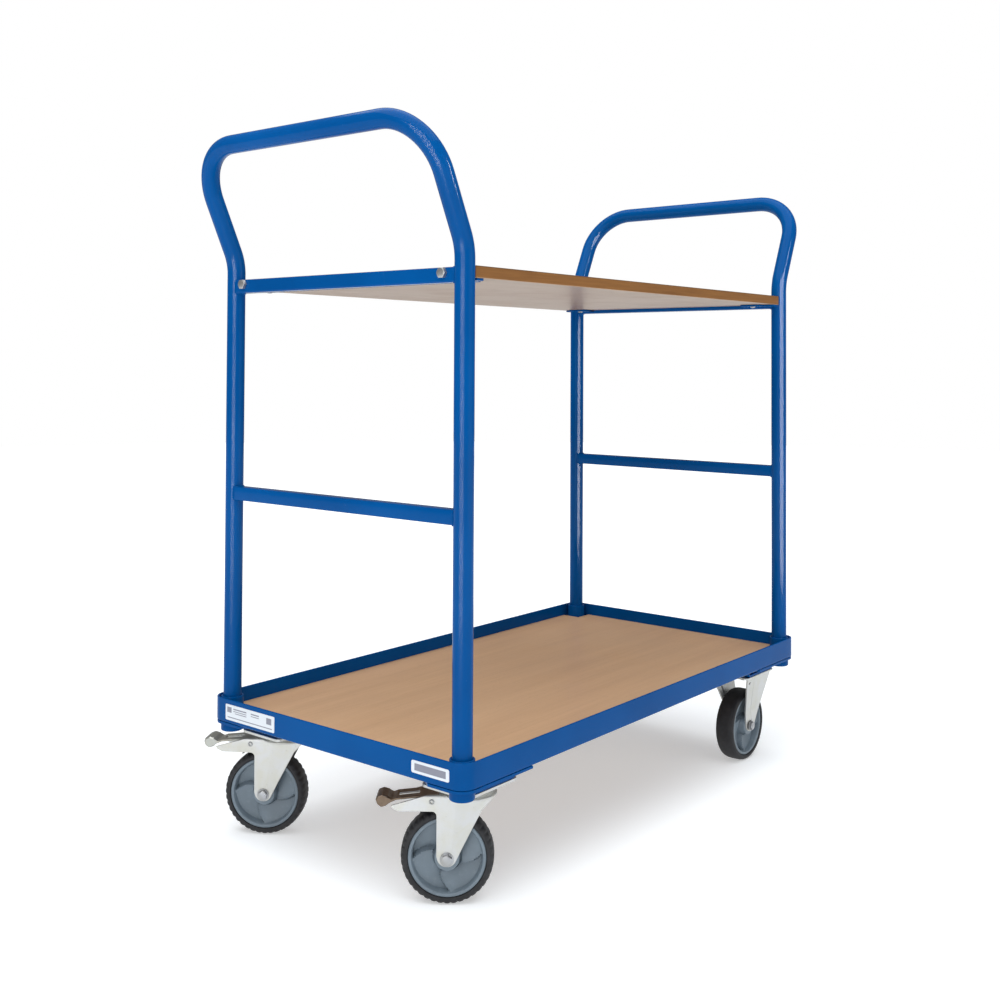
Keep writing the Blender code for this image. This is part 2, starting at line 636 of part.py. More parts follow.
def swivel_fork(swivel, side):
    """Two cheeks with arms that carry the brake pedal, under a round crown with the lower race on it."""
    leg_back = TRAIL + LEG_TIP_R + 0.0005
    outline = [(leg_back, WHEEL_R + LEG_TIP_UP), (leg_back, 0.1190)]
    outline += arc((leg_back + 0.006, 0.1190), 0.006, 180, 90, 3)[1:]
    outline += [(0.0930, 0.1250), (0.1010, 0.1285), (0.1036, 0.1323)]
    outline += [(0.0565, CHEEK_TOP), (-0.0285, CHEEK_TOP)]
    outline += [(-0.0330, 0.1430), (-0.0173, 0.1265), (0.0077, 0.0790)]
    outline += list(reversed(leg_tip(TRAIL)[1:-1]))
    name = f"swivel_fork_{side}"
    fork = add(name, cheeks(outline), swivel, zinc_plate(name))
    low = CROWN_TOP - CROWN_THICK
    crown = [(0, low), (CROWN_R - 0.001, low), (CROWN_R, low + 0.001), (CROWN_R, CROWN_TOP)]
    crown += [(RACE_R + 0.001, CROWN_TOP), (RACE_R, RACE_TOP), (0, RACE_TOP)]
    combine(fork, turned(crown, ARC_STEPS), "UNION")
    pin_hole = moved(cylinder(PIVOT_R + GAP, -0.03, 0.03, HOLE_STEPS, "Y"), x=PIVOT_S, z=PIVOT_Z)
    axle_hole = moved(cylinder(AXLE_HOLE_R, -0.03, 0.03, HOLE_STEPS, "Y"), x=TRAIL, z=WHEEL_R)
    combine(fork, joined(pin_hole, axle_hole), "DIFFERENCE")
    combine(fork, cylinder(KING_PIN_R + GAP, low - 0.01, RACE_TOP + 0.01, HOLE_STEPS), "DIFFERENCE")


def pedal(swivel, side):
    """A pressed strip with two ears on the hinge pin and a rolled toe pad. Its origin is on the hinge."""
    top = [(-0.0094, 0.0077), (0.0116, 0.0067), (0.0476, 0.0027), (0.0536, 0.0002), (0.0590, 0.0050)]
    top += [(0.0665, 0.0070), (0.0735, 0.0045), (0.0756, -0.0005), (0.0735, -0.0065), (0.0680, -0.0105)]
    under = [(0.0610, -0.0085), (0.0560, -0.0035), (0.0530, -0.0023), (0.0476, 0.0002), (0.0116, 0.0042)]
    under += [(-0.0094, 0.0052)]
    name = f"brake_pedal_{side}"
    strip = prism(top + under, -PEDAL_HALF, PEDAL_HALF, "XZ")
    piece = add(name, strip, swivel, zinc_plate(name), (PIVOT_S, 0, PIVOT_Z))
    ear = arc((0, 0), 0.0052, 200, 340, 4) + [(0.0085, 0.0055), (-0.0085, 0.0060)]
    inner = PEDAL_HALF - EAR_THICK
    outer = PEDAL_HALF - 0.0001
    combine(piece, joined(prism(ear, inner, outer, "XZ"), prism(ear, -outer, -inner, "XZ")), "UNION")
    slot = box((0.0170, -0.0045, -0.02), (0.0450, 0.0045, 0.02))
    hole = cylinder(PIVOT_R + GAP, -0.03, 0.03, HOLE_STEPS, "Y")
    combine(piece, joined(slot, hole), "DIFFERENCE")


def brake_shoe(swivel, side):
    """A rubber block under the pedal, with its foot shaped to the tyre."""
    reach = WHEEL_R + SHOE_CLEAR
    steps = 4
    outline = []
    for i in range(steps + 1):
        s = SHOE_START + (SHOE_END - SHOE_START) * i / steps
        outline.append((s - PIVOT_S, WHEEL_R + (reach**2 - (s - TRAIL) ** 2) ** 0.5 - PIVOT_Z))
    outline += [(SHOE_END - PIVOT_S, 0.0033), (SHOE_START - PIVOT_S, 0.0040)]
    name = f"brake_shoe_{side}"
    shape = prism(outline, -SHOE_HALF, SHOE_HALF, "XZ")
    add(name, shape, swivel, material(name, BLACK_RUBBER, 0.7, 0.0), (PIVOT_S, 0, PIVOT_Z))


def pedal_pin(swivel, side):
    """A rivet through both arms and the pedal's ears."""
    head = FORK_OUT + GAP
    tip = head + 0.0015
    profile = [(0, -tip), (0.0035, -tip), (0.0045, -head), (PIVOT_R, -head), (PIVOT_R, head), (0.0045, head)]
    profile += [(0.0035, tip), (0, tip)]
    name = f"pedal_pin_{side}"
    add(name, turned(profile, HOLE_STEPS, "Y"), swivel, zinc_plate(name), (PIVOT_S, 0, PIVOT_Z))


def swivel_caster(trolley, side, sign, heading):
    y = sign * CASTER_Y
    swivel_plate(trolley, side, y)
    swivel = empty(f"swivel_axis_{side}", trolley, (-CASTER_X, y, 0), heading)
    swivel_fork(swivel, side)
    pedal(swivel, side)
    brake_shoe(swivel, side)
    pedal_pin(swivel, side)
    wheel(swivel, f"swivel_{side}", (TRAIL, 0, WHEEL_R))


def fixed_leg(side):
    """One leg of a rigid fork: upright beside the wheel, then leaning out to the plate's long edge."""
    lower = [(-LEG_KNEE_FRONT, LEG_KNEE_Z)]
    lower += arc((0, WHEEL_R + LEG_TIP_UP), LEG_TIP_R, -176, -32, 2 * ARC_STEPS)
    lower += [(LEG_KNEE_BACK, LEG_KNEE_Z)]
    top = PLATE_TOP - FORK_WALL + 0.001
    upper = [(LEG_TOP_HALF, top), (-LEG_TOP_HALF, top)]
    bm = bmesh.new()
    rings = []
    for reach in (FORK_GAP, FORK_OUT):
        below = [bm.verts.new((u, side * reach, v)) for u, v in lower]
        above = [bm.verts.new((u, side * (reach + LEG_LEAN), v)) for u, v in upper]
        bm.faces.new(below)
        bm.faces.new([below[-1], *above, below[0]])
        rings.append(below + above)
    inner, outer = rings
    for i in range(len(inner)):
        j = (i + 1) % len(inner)
        bm.faces.new([inner[i], inner[j], outer[j], outer[i]])
    return bm


def fixed_caster(trolley, side, sign):
    """A rigid fork: a mounting plate with two tapering legs."""
    axis = empty(f"fixed_axis_{side}", trolley, (CASTER_X, sign * CASTER_Y, 0))
    low = PLATE_TOP - FORK_WALL
    name = f"fixed_fork_{side}"
    fork = add(name, joined(fixed_leg(-1), fixed_leg(1)), axis, zinc_plate(name))
    combine(fork, box((-PLATE_HALF_X, -PLATE_HALF_Y, low), (PLATE_HALF_X, PLATE_HALF_Y, PLATE_TOP)), "UNION")
    hole = moved(cylinder(AXLE_HOLE_R, -0.03, 0.03, HOLE_STEPS, "Y"), z=WHEEL_R)
    combine(fork, hole, "DIFFERENCE")
    wheel(axis, f"fixed_{side}", (0, 0, WHEEL_R))


def build():
    clear_scene()
    trolley = empty("trolley", None, (0, 0, -DECK_TOP))
    frame_rails(trolley)
    corner_pieces(trolley)
    caster_brackets(trolley)
    deck_board(trolley)
    handles(trolley)
    cross_rails(trolley)
    shelf(trolley)
    shelf_brackets(trolley)
    labels(trolley)
    swivel_caster(trolley, "left", 1, HEADING_LEFT)
    swivel_caster(trolley, "right", -1, HEADING_RIGHT)
    fixed_caster(trolley, "left", 1)
    fixed_caster(trolley, "right", -1)


build()
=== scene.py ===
"""The looks of the two-tier platform trolley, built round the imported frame.

Metres, in the row frame: +X from the swivel casters to the fixed ones, +Y to the left, +Z up. Shapes are laid out
with their heights measured from the floor, and piece() lowers them into the frame. A caster is laid out with its
swivel axis on Z, its x trailing towards the axle and its y along the axle.
"""
import json
from math import atan2, cos, exp, hypot, pi, radians, sin, sqrt, tan

import bmesh
import bpy
from mathutils import Matrix, Vector, noise


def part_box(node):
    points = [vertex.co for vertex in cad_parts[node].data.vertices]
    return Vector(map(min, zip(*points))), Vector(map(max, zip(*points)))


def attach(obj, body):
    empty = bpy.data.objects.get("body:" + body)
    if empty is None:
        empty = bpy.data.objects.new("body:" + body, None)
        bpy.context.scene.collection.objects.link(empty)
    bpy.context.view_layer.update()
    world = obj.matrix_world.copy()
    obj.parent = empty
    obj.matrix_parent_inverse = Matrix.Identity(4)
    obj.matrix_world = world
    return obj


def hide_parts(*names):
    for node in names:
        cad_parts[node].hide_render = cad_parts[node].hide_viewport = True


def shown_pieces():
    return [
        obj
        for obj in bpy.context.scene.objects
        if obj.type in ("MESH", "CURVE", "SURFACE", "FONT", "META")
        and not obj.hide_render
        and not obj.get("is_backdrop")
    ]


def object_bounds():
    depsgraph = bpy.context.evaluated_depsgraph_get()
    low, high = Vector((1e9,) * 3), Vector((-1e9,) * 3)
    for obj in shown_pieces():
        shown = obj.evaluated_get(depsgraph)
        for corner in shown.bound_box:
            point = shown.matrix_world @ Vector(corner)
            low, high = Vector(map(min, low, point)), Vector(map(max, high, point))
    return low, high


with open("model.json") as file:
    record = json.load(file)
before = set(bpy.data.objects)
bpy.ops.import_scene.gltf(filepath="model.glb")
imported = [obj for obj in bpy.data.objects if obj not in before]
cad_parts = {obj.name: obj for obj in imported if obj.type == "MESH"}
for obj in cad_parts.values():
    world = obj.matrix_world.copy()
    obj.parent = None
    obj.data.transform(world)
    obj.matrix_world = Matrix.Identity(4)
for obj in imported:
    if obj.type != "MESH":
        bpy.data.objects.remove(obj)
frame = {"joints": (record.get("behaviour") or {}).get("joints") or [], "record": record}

CAD_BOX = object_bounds()
FLOOR = CAD_BOX[0].z
JOINTS = {joint["name"]: joint for joint in frame["joints"]}
BODY_OF = {n: body for body, members in frame["record"]["behaviour"]["bodies"].items() for n in members}
SIDES = (("left", 1), ("right", -1))
ENDS = (("swivel", -1), ("fixed", 1))
CORNERS = [(f"{end}_{side}", sx, sy) for end, sx in ENDS for side, sy in SIDES]


def low(node):
    """A node's lowest corner, with its height measured from the floor."""
    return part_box(node)[0] - Vector((0, 0, FLOOR))


def high(node):
    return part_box(node)[1] - Vector((0, 0, FLOOR))


def half_size(node, axis):
    """Half of a node's size along an axis."""
    return (getattr(high(node), axis) - getattr(low(node), axis)) / 2


def middle_of(node, axis):
    return (getattr(low(node), axis) + getattr(high(node), axis)) / 2


def gap(joint, other):
    """How far apart two joints stand, seen from above."""
    return (Vector(JOINTS[joint]["pos_m"]) - Vector(JOINTS[other]["pos_m"])).xy.length


# ---- sizes read from the frame ----
FRAME_X = high("end_rail_fixed").x
FRAME_Y = high("side_rail_left").y
FRAME_LOW = low("side_rail_left").z
FRAME_TOP = high("side_rail_left").z
ANGLE = FRAME_TOP - FRAME_LOW
CORNER_IN = low("corner_fixed_left")
SLEEVE_TOP = FRAME_TOP - 0.0005
DECK_TOP = high("deck_board").z
DECK_THICK = DECK_TOP - low("deck_board").z
POST_X = middle_of("mid_rail_fixed", "x")
HANDLE_LOW = low("handle_fixed")
HANDLE_HIGH = high("handle_fixed")
TUBE_R = POST_X - HANDLE_LOW.x
POST_Y = HANDLE_HIGH.y - TUBE_R
BAR_HALF = POST_X - low("mid_rail_fixed").x
SHELF_LOW = low("shelf_board")
SHELF_HIGH = high("shelf_board")
WHEEL_R = half_size("tyre_fixed_left", "z")
TYRE_HALF = half_size("tyre_fixed_left", "y")
HUB_HALF = half_size("rim_fixed_left", "y")
RIM_R = half_size("rim_fixed_left", "z")
PLATE_HALF_X = half_size("fixed_fork_left", "x")
PLATE_HALF_Y = half_size("fixed_fork_left", "y")
PLATE_TOP = high("fixed_fork_left").z
BRACKET_LOW = low("caster_bracket_fixed_left").z
BRACKET_TOP = high("caster_bracket_fixed_left").z
CASTER_X, CASTER_Y = JOINTS["wheel_spin_fixed_left"]["pos_m"][:2]

# ---- sizes of the details ----
TUBE_WALL = 0.002
WELD_R = 0.0013
WALL = 0.003  # steel angle, forks, fixed casters' plates and shelf brackets
PLATE_WALL = 0.004  # swivel plates and caster brackets
PLATE_CORNER = 0.008
POST_INSET = FRAME_X - POST_X
SLEEVE_R = 0.01685
SLEEVE_BOTTOM = CORNER_IN.z
BEND_Z = 0.869  # where the handles start to lean
LEAN_R = 0.080
GRIP_CORNER_R = 0.080
GRIP_Z = HANDLE_HIGH.z - TUBE_R
GRIP_REACH = HANDLE_HIGH.x - TUBE_R - POST_X
SHARP = radians(32)
COAT, STEEL, WOOD = "blue_powder_coat", "zinc_plated_steel", "beech_board"  # slots of the record's finishes


# ---- outlines ----
def around(count):
    """The angles of that many equal steps in a full turn."""
    return [2 * pi * i / count for i in range(count)]


def arc(middle, radius, start, end, steps):
    """Points along an arc, both ends included; angles in degrees."""
    angles = [radians(start + (end - start) * i / steps) for i in range(steps + 1)]
    return [(middle[0] + radius * cos(a), middle[1] + radius * sin(a)) for a in angles]


def bend_at(before, corner, after, radius):
    """The arc that rounds a corner: its middle, the arms to its first and last points, half the corner's angle."""
    arrive = (Vector(before) - corner).normalized()
    leave = (Vector(after) - corner).normalized()
    half = arrive.angle(leave) / 2
    middle = corner + (arrive + leave).normalized() * radius / sin(half)
    first = corner + arrive * radius / tan(half) - middle
    return middle, first, corner + leave * radius / tan(half) - middle, half


def rounded(outline, radius, steps=4):
    """The closed outline with an arc at each corner. Radius is one number, or one for each corner."""
    radii = radius if hasattr(radius, "__len__") else [radius] * len(outline)
    points = []
    for i, r in enumerate(radii):
        corner = Vector(outline[i])
        if not r:
            points.append(tuple(corner))
            continue
        middle, first, last = bend_at(outline[i - 1], corner, outline[(i + 1) % len(outline)], r)[:3]
        start = atan2(first.y, first.x)
        turn = (atan2(last.y, last.x) - start + pi) % (2 * pi) - pi
        angles = [start + turn * k / steps for k in range(steps + 1)]
        points += [(middle.x + r * cos(a), middle.y + r * sin(a)) for a in angles]
    return points


def rectangle(half_u, half_v, u=0.0, v=0.0):
    return [(u - half_u, v - half_v), (u + half_u, v - half_v), (u + half_u, v + half_v), (u - half_u, v + half_v)]


# ---- solids, each a bmesh ----
def prism(outline, start, end, plane="XY"):
    """An outline of (u, v) points in a plane, raised from start to end along the third axis."""
    order = {"XY": (0, 1, 2), "XZ": (0, 2, 1), "YZ": (2, 0, 1)}[plane]
    return loft([[[(u, v, w)[i] for i in order] for u, v in outline] for w in (start, end)])


def loft(rings, closed=False):
    """A skin over rings of the same number of points, capped, or with the last ring joined to the first."""
    bm = bmesh.new()
    made = [[bm.verts.new(point) for point in ring] for ring in rings]
    pairs = list(zip(made, made[1:])) + ([(made[-1], made[0])] if closed else [])
    for here, there in pairs:
        for i in range(len(here)):
            j = (i + 1) % len(here)
            bm.faces.new([here[i], here[j], there[j], there[i]])
    if not closed:
        bm.faces.new(made[0])
        bm.faces.new(made[-1])
    return bm


def turned(profile, count, axis="Z"):
    """A closed profile of (radius, height) points turned about an axis. A radius of 0 lies on the axis."""
    bm = bmesh.new()
    rings = []
    for radius, height in profile:
        if radius == 0:
            rings.append([bm.verts.new((0, 0, height))] * count)
            continue
        rings.append([bm.verts.new((radius * cos(a), radius * sin(a), height)) for a in around(count)])
    for here, there in zip(rings, rings[1:] + rings[:1]):
        for i in range(count):
            j = (i + 1) % count
            corners = list(dict.fromkeys([here[i], here[j], there[j], there[i]]))
            if len(corners) > 2:
                bm.faces.new(corners)
    return laid(bm, axis)


def laid(bm, axis):
    """Turns a shape made on the Z axis on to the named axis."""
    if axis != "Z":
        bmesh.ops.rotate(bm, matrix=Matrix.Rotation(-pi / 2, 3, "X"), verts=bm.verts)
    if axis == "X":
        bmesh.ops.rotate(bm, matrix=Matrix.Rotation(-pi / 2, 3, "Z"), verts=bm.verts)
    return bm


def moved(bm, x=0.0, y=0.0, z=0.0):
    bmesh.ops.translate(bm, vec=(x, y, z), verts=bm.verts)
    return bm


def mesh_of(bm, name):
    mesh = bpy.data.meshes.new(name)
    bm.to_mesh(mesh)
    bm.free()
    return mesh


def shown(name, data):
    """A new object in the scene for the mesh, light or camera."""
    obj = bpy.data.objects.new(name, data)
    bpy.context.scene.collection.objects.link(obj)
    return obj


def joined(*parts):
    whole = bmesh.new()
    for part in parts:
        mesh = mesh_of(part, "part")
        whole.from_mesh(mesh)
        bpy.data.meshes.remove(mesh)
    return whole


def carved(solid, tool):
    """The solid with the tool cut out of it."""
    made = []
    for bm in (solid, tool):
        bmesh.ops.recalc_face_normals(bm, faces=bm.faces)
        made.append(shown("carving", mesh_of(bm, "carving")))
    cut = made[0].modifiers.new("cut", "BOOLEAN")
    cut.operation, cut.solver, cut.object = "DIFFERENCE", "EXACT", made[1]
    result = bmesh.new()
    result.from_object(made[0], bpy.context.evaluated_depsgraph_get())
    for obj in made:
        mesh = obj.data
        bpy.data.objects.remove(obj)
        bpy.data.meshes.remove(mesh)
    return result


def pipe(points, outer, inner, sides, closed=False):
    """A tube along the points, square to the path, or a solid bead that closes on itself."""
    count = len(points)
    ways = []
    for i in range(count):
        before = points[i - 1] if i or closed else points[i]
        after = points[(i + 1) % count] if i < count - 1 or closed else points[i]
        ways.append((after - before).normalized())
    across = Vector((0, 0, 1)).cross(ways[0])
    across = across.normalized() if across.length > 0.01 else Vector((1, 0, 0))
    frames = []
    for way in ways:
        across = (across - way * across.dot(way)).normalized()
        frames.append((across.copy(), way.cross(across)))

    def shell(reach):
        stations = zip(points, frames, reach)
        return [[p + r * (cos(a) * u + sin(a) * v) for a in around(sides)] for p, (u, v), r in stations]

    return loft(shell(outer) + (shell(inner)[::-1] if inner else []), closed=True)


def rounded_path(corners, radii, steps):
    """Points along straight runs through the corners, with an arc of the given radius at each bend."""
    points = [Vector(corners[0])]
    for before, corner, after, radius in zip(corners, corners[1:], corners[2:], radii):
        middle, first, last, half = bend_at(before, Vector(corner), after, radius)
        turns = [Matrix.Rotation((pi - 2 * half) * i / steps, 3, first.cross(last)) for i in range(steps + 1)]
        points += [middle + turn @ first for turn in turns]
    return points + [Vector(corners[-1])]


def pressed(outline, bends, reach, side):
    """A sheet cut to an outline of (x, z) points. reach(x, z) is how far out its outer face stands on its side.
    It is scored along the bends, each a point and a normal, so that it can fold there."""
    bm = bmesh.new()
    bm.faces.new([bm.verts.new((u, 0, v)) for u, v in outline])
    for point, normal in bends:
        everything = bm.verts[:] + bm.edges[:] + bm.faces[:]
        bmesh.ops.bisect_plane(bm, geom=everything, dist=1e-6, plane_co=point, plane_no=normal)
    grown = bmesh.ops.extrude_face_region(bm, geom=bm.faces[:])["geom"]
    outer = {v for v in grown if isinstance(v, bmesh.types.BMVert)}
    for vert in bm.verts:
        out = reach(vert.co.x, vert.co.z)
        vert.co.y = side * (out if vert in outer else out - WALL)
    return bm


def hexagon(corner_radius, start, end, axis="Z", turn=0.0):
    """A bolt head or nut from start to end along the axis, its corners turned off at the end."""
    away = 1 if end > start else -1
    flat = corner_radius * cos(pi / 6)
    brim, chamfer = 0.93 * flat, 0.00012
    angles = around(48)
    reaches = [flat / cos(a % (pi / 3) - pi / 6) for a in angles]
    slope = [end - away * (chamfer + (reach - brim) * tan(radians(27))) for reach in reaches]
    rings = [[(start, r) for r in reaches], list(zip(slope, reaches))]
    rings += [[(end - away * chamfer, brim)] * 48, [(end, 0.88 * flat)] * 48]
    spun = [[(r * cos(a + turn), r * sin(a + turn), h) for a, (h, r) in zip(angles, ring)] for ring in rings]
    return laid(loft(spun), axis)


def disc(radius, start, end, axis="Z", edge=0.0004):
    """A round plate or shaft with a small chamfer at both ends."""
    lift = edge if end > start else -edge
    profile = [(0, start), (radius - edge, start), (radius, start + lift), (radius, end - lift)]
    return turned(profile + [(radius - edge, end), (0, end)], 40, axis)


def piece(name, bm, mats, slot, nodes, place=Matrix(), edge=0.0, sharp=SHARP):
    """Makes the object that stands for the CAD nodes and rides with them, with the materials in mats. slot is not
    used.
    """
    bmesh.ops.remove_doubles(bm, verts=bm.verts, dist=1e-6)
    bmesh.ops.recalc_face_normals(bm, faces=bm.faces)
    mesh = mesh_of(bm, name)
    mesh.transform(Matrix.Translation((0, 0, FLOOR)) @ place)
    mesh.shade_smooth()
    for mat in mats if isinstance(mats, list) else [mats]:
        mesh.materials.append(mat)
    obj = shown(name, mesh)
    if edge:
        bevel = obj.modifiers.new("edges", "BEVEL")
        bevel.width, bevel.segments = edge, 2
        bevel.limit_method, bevel.angle_limit = "ANGLE", sharp
        bevel.use_clamp_overlap = False
        obj.modifiers.new("shading", "WEIGHTED_NORMAL").keep_sharp = True
    else:
        mesh.set_sharp_from_angle(angle=sharp)
    nodes = [nodes] if isinstance(nodes, str) else nodes
    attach(obj, BODY_OF[nodes[0]])
    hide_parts(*nodes)
    return obj


def skin(node, bm, mats, slot, place=Matrix(), **looks):
    """The piece that is named after its CAD node."""
    return piece(f"{node}_skin", bm, mats, slot, node, place, **looks)


# ---- materials ----
class Finish:
    """One material, with short ways to add its nodes."""

    def __init__(self, name, colour=(0.5, 0.5, 0.5), roughness=0.5, **sockets):
        self.mat = bpy.data.materials.new(name)
        self.mat.use_nodes = True
        self.nodes = self.mat.node_tree.nodes
        self.links = self.mat.node_tree.links
        self.shader = self.nodes["Principled BSDF"]
        self.shader.inputs["Base Color"].default_value = (*colour, 1)
        self.shader.inputs["Roughness"].default_value = roughness
        for socket, value in sockets.items():
            self.shader.inputs[socket.replace("_", " ")].default_value = value
        self.place = self.nodes.new("ShaderNodeTexCoord").outputs["Object"]

    def add(self, kind, inputs, output=0, **settings):
        node = self.nodes.new(f"ShaderNode{kind}")
        for name, value in settings.items():
            setattr(node, name, value)
        for socket, value in inputs.items():
            if isinstance(value, bpy.types.NodeSocket):
                self.links.new(value, node.inputs[socket])
            else:
                node.inputs[socket].default_value = value
        return node.outputs[output]

    def noise(self, scale, stretch=(1, 1, 1), detail=3.0, rough=0.5, distortion=0.0):
        """Noise with about scale features a metre, drawn out by stretch along each axis."""
        squeeze = tuple(1 / s for s in stretch)
        spot = self.add("Mapping", {"Vector": self.place, "Scale": squeeze})
        inputs = {"Vector": spot, "Scale": scale, "Detail": detail}
        inputs |= {"Roughness": rough, "Distortion": distortion}
        return self.add("TexNoise", inputs)

    def spread(self, value, low_in, high_in, low_out=0.0, high_out=1.0):
        inputs = {"Value": value, "From Min": low_in, "From Max": high_in, "To Min": low_out, "To Max": high_out}
        return self.add("MapRange", inputs)

    def math(self, operation, a, b=0.0):
        return self.add("Math", {0: a, 1: b}, operation=operation)

    def times(self, a, b):
        return self.math("MULTIPLY", a, b)

    def mix(self, factor, a, b):
        a, b = ((*c, 1) if isinstance(c, tuple) else c for c in (a, b))
        return self.add("Mix", {0: factor, 6: a, 7: b}, output=2, data_type="RGBA")

    def bump(self, height, distance, after=None):
        inputs = {"Height": height, "Distance": distance, "Strength": 1.0}
        if after:
            inputs["Normal"] = after
        return self.add("Bump", inputs)

    def done(self, colour, roughness, normal):
        """The material, once the three are wired to its shader."""
        for socket, value in (("Base Color", colour), ("Roughness", roughness), ("Normal", normal)):
            self.links.new(value, self.shader.inputs[socket])
        return self.mat


def powder_coat():
    """Gloss blue powder coat: faint orange peel, dust that dulls it in patches, a few pale scuffs."""
    finish = Finish("blue_powder_coat", roughness=0.10, Specular_IOR_Level=0.05)
    patches = finish.noise(5, detail=4)
    colour = finish.mix(finish.spread(patches, 0.35, 0.65), (0.0005, 0.060, 0.225), (0.0008, 0.073, 0.268))
    specks = finish.spread(finish.noise(420, detail=2), 0.74, 0.80)
    scuffs = finish.spread(finish.noise(90, stretch=(1, 1, 6), detail=6, rough=0.7), 0.70, 0.76)
    worn = finish.math("MAXIMUM", finish.times(specks, 0.35), finish.times(scuffs, 0.25))
    dull = finish.spread(finish.noise(14, detail=5, rough=0.6), 0.3, 0.7, 0.08, 0.13)
    peel = finish.bump(finish.noise(330, detail=1), 0.000012)
    waves = finish.bump(finish.noise(40, detail=1), 0.00005, after=peel)
    colour = finish.mix(worn, colour, (0.10, 0.17, 0.33))
    return finish.done(colour, finish.math("ADD", dull, finish.times(worn, 0.3)), waves)


def beech(name, light, dark, sheen):
    """Laminate board: long soft grain bands, fine lines between them and short dark flecks, all along X."""
    finish = Finish(name, Specular_IOR_Level=sheen)
    bands = finish.noise(26, stretch=(14, 1, 1), detail=3, distortion=0.4)
    lines = finish.noise(170, stretch=(30, 1, 1), detail=4, rough=0.6)
    flecks = finish.spread(finish.noise(620, stretch=(7, 1, 1), detail=1), 0.64, 0.72)
    blend = finish.math("ADD", finish.times(bands, 0.6), finish.times(lines, 0.4))
    colour = finish.mix(finish.spread(blend, 0.36, 0.64), light, dark)
    colour = finish.mix(finish.times(flecks, 0.30), colour, tuple(0.62 * c for c in dark))
    wear = finish.spread(finish.noise(7, detail=5, rough=0.65), 0.45, 0.75)
    colour = finish.mix(finish.times(wear, 0.10), colour, tuple(1.04 * c for c in light))
    grain = finish.math("SUBTRACT", lines, finish.times(flecks, 0.5))
    return finish.done(colour, finish.spread(wear, 0.0, 1.0, 0.30, 0.40), finish.bump(grain, 0.00006))


def board_edge(name, light, dark):
    """The board's edge band, streaked along its length."""
    finish = Finish(name, Specular_IOR_Level=0.15)
    streaks = finish.noise(300, stretch=(25, 25, 1), detail=4, rough=0.6)
    patches = finish.noise(20, stretch=(4, 4, 1), detail=3)
    blend = finish.math("ADD", finish.times(streaks, 0.55), finish.times(patches, 0.45))
    colour = finish.mix(finish.spread(blend, 0.35, 0.65), light, dark)
    return finish.done(colour, finish.spread(patches, 0.3, 0.7, 0.42, 0.55), finish.bump(streaks, 0.00008))


def zinc(name, clear, tinged, dull=0.36):
    """Bright zinc plate with a faint yellow passivation bloom, fine pressing marks and rougher patches."""
    finish = Finish(name, Metallic=0.82)
    bloom = finish.noise(38, detail=5, rough=0.6, distortion=0.6)
    marks = finish.noise(700, stretch=(1, 1, 9), detail=3)
    colour = finish.mix(finish.spread(bloom, 0.38, 0.66), clear, tinged)
    grime = finish.spread(finish.noise(150, detail=6, rough=0.75), 0.60, 0.74)
    colour = finish.mix(finish.times(grime, 0.35), colour, (0.30, 0.28, 0.24))
    rough = finish.spread(bloom, 0.3, 0.7, dull - 0.07, dull + 0.09)
    return finish.done(colour, finish.math("ADD", rough, finish.times(marks, 0.06)), finish.bump(marks, 0.00005))


def rubber(name, colour, dust, amount):
    """Black rubber, greyed where dust has settled in its grain."""
    finish = Finish(name, Specular_IOR_Level=0.35)
    grain = finish.noise(900, detail=2)
    patches = finish.noise(55, detail=6, rough=0.65)
    dusty = finish.times(finish.spread(patches, 0.42, 0.72), amount)
    rough = finish.spread(patches, 0.3, 0.7, 0.50, 0.68)
    return finish.done(finish.mix(dusty, colour, dust), rough, finish.bump(grain, 0.00010))


def moulded(name, colour, dust):
    """Moulded plastic with a fine spark-eroded grain, a little flow variation and dust."""
    finish = Finish(name, Specular_IOR_Level=0.45)
    flow = finish.noise(30, detail=4)
    base = finish.mix(finish.spread(flow, 0.35, 0.65), tuple(0.86 * c for c in colour), colour)
    dusty = finish.spread(finish.noise(120, detail=6, rough=0.7), 0.56, 0.74)
    base = finish.mix(finish.times(dusty, 0.22), base, dust)
    rough = finish.spread(flow, 0.3, 0.7, 0.36, 0.48)
    return finish.done(base, rough, finish.bump(finish.noise(1500, detail=1), 0.00003))


def label_film(name, middle, bars):
    """White film with plain bars in place of print. Each bar is (y, z, half width, half height)."""
    finish = Finish(name, Specular_IOR_Level=0.5)
    across, height = (finish.add("SeparateXYZ", {"Vector": finish.place}, output=i) for i in (1, 2))
    printed = None
    for y, z, half_y, half_z in bars:
        far_y = finish.math("ABSOLUTE", finish.math("SUBTRACT", across, middle[0] + y))
        far_z = finish.math("ABSOLUTE", finish.math("SUBTRACT", height, middle[1] + z))
        inside_y = finish.math("LESS_THAN", far_y, half_y)
        inside = finish.times(inside_y, finish.math("LESS_THAN", far_z, half_z))
        printed = inside if printed is None else finish.math("MAXIMUM", printed, inside)
    soil = finish.spread(finish.noise(60, detail=5, rough=0.6), 0.5, 0.75)
    film = finish.mix(finish.times(soil, 0.15), (0.64, 0.68, 0.73), (0.50, 0.50, 0.50))
    colour = finish.mix(finish.times(printed, 0.85), film, (0.12, 0.12, 0.17))
    grain = finish.noise(200, detail=2)
    return finish.done(colour, finish.spread(soil, 0, 1, 0.30, 0.5), finish.bump(grain, 0.00003))


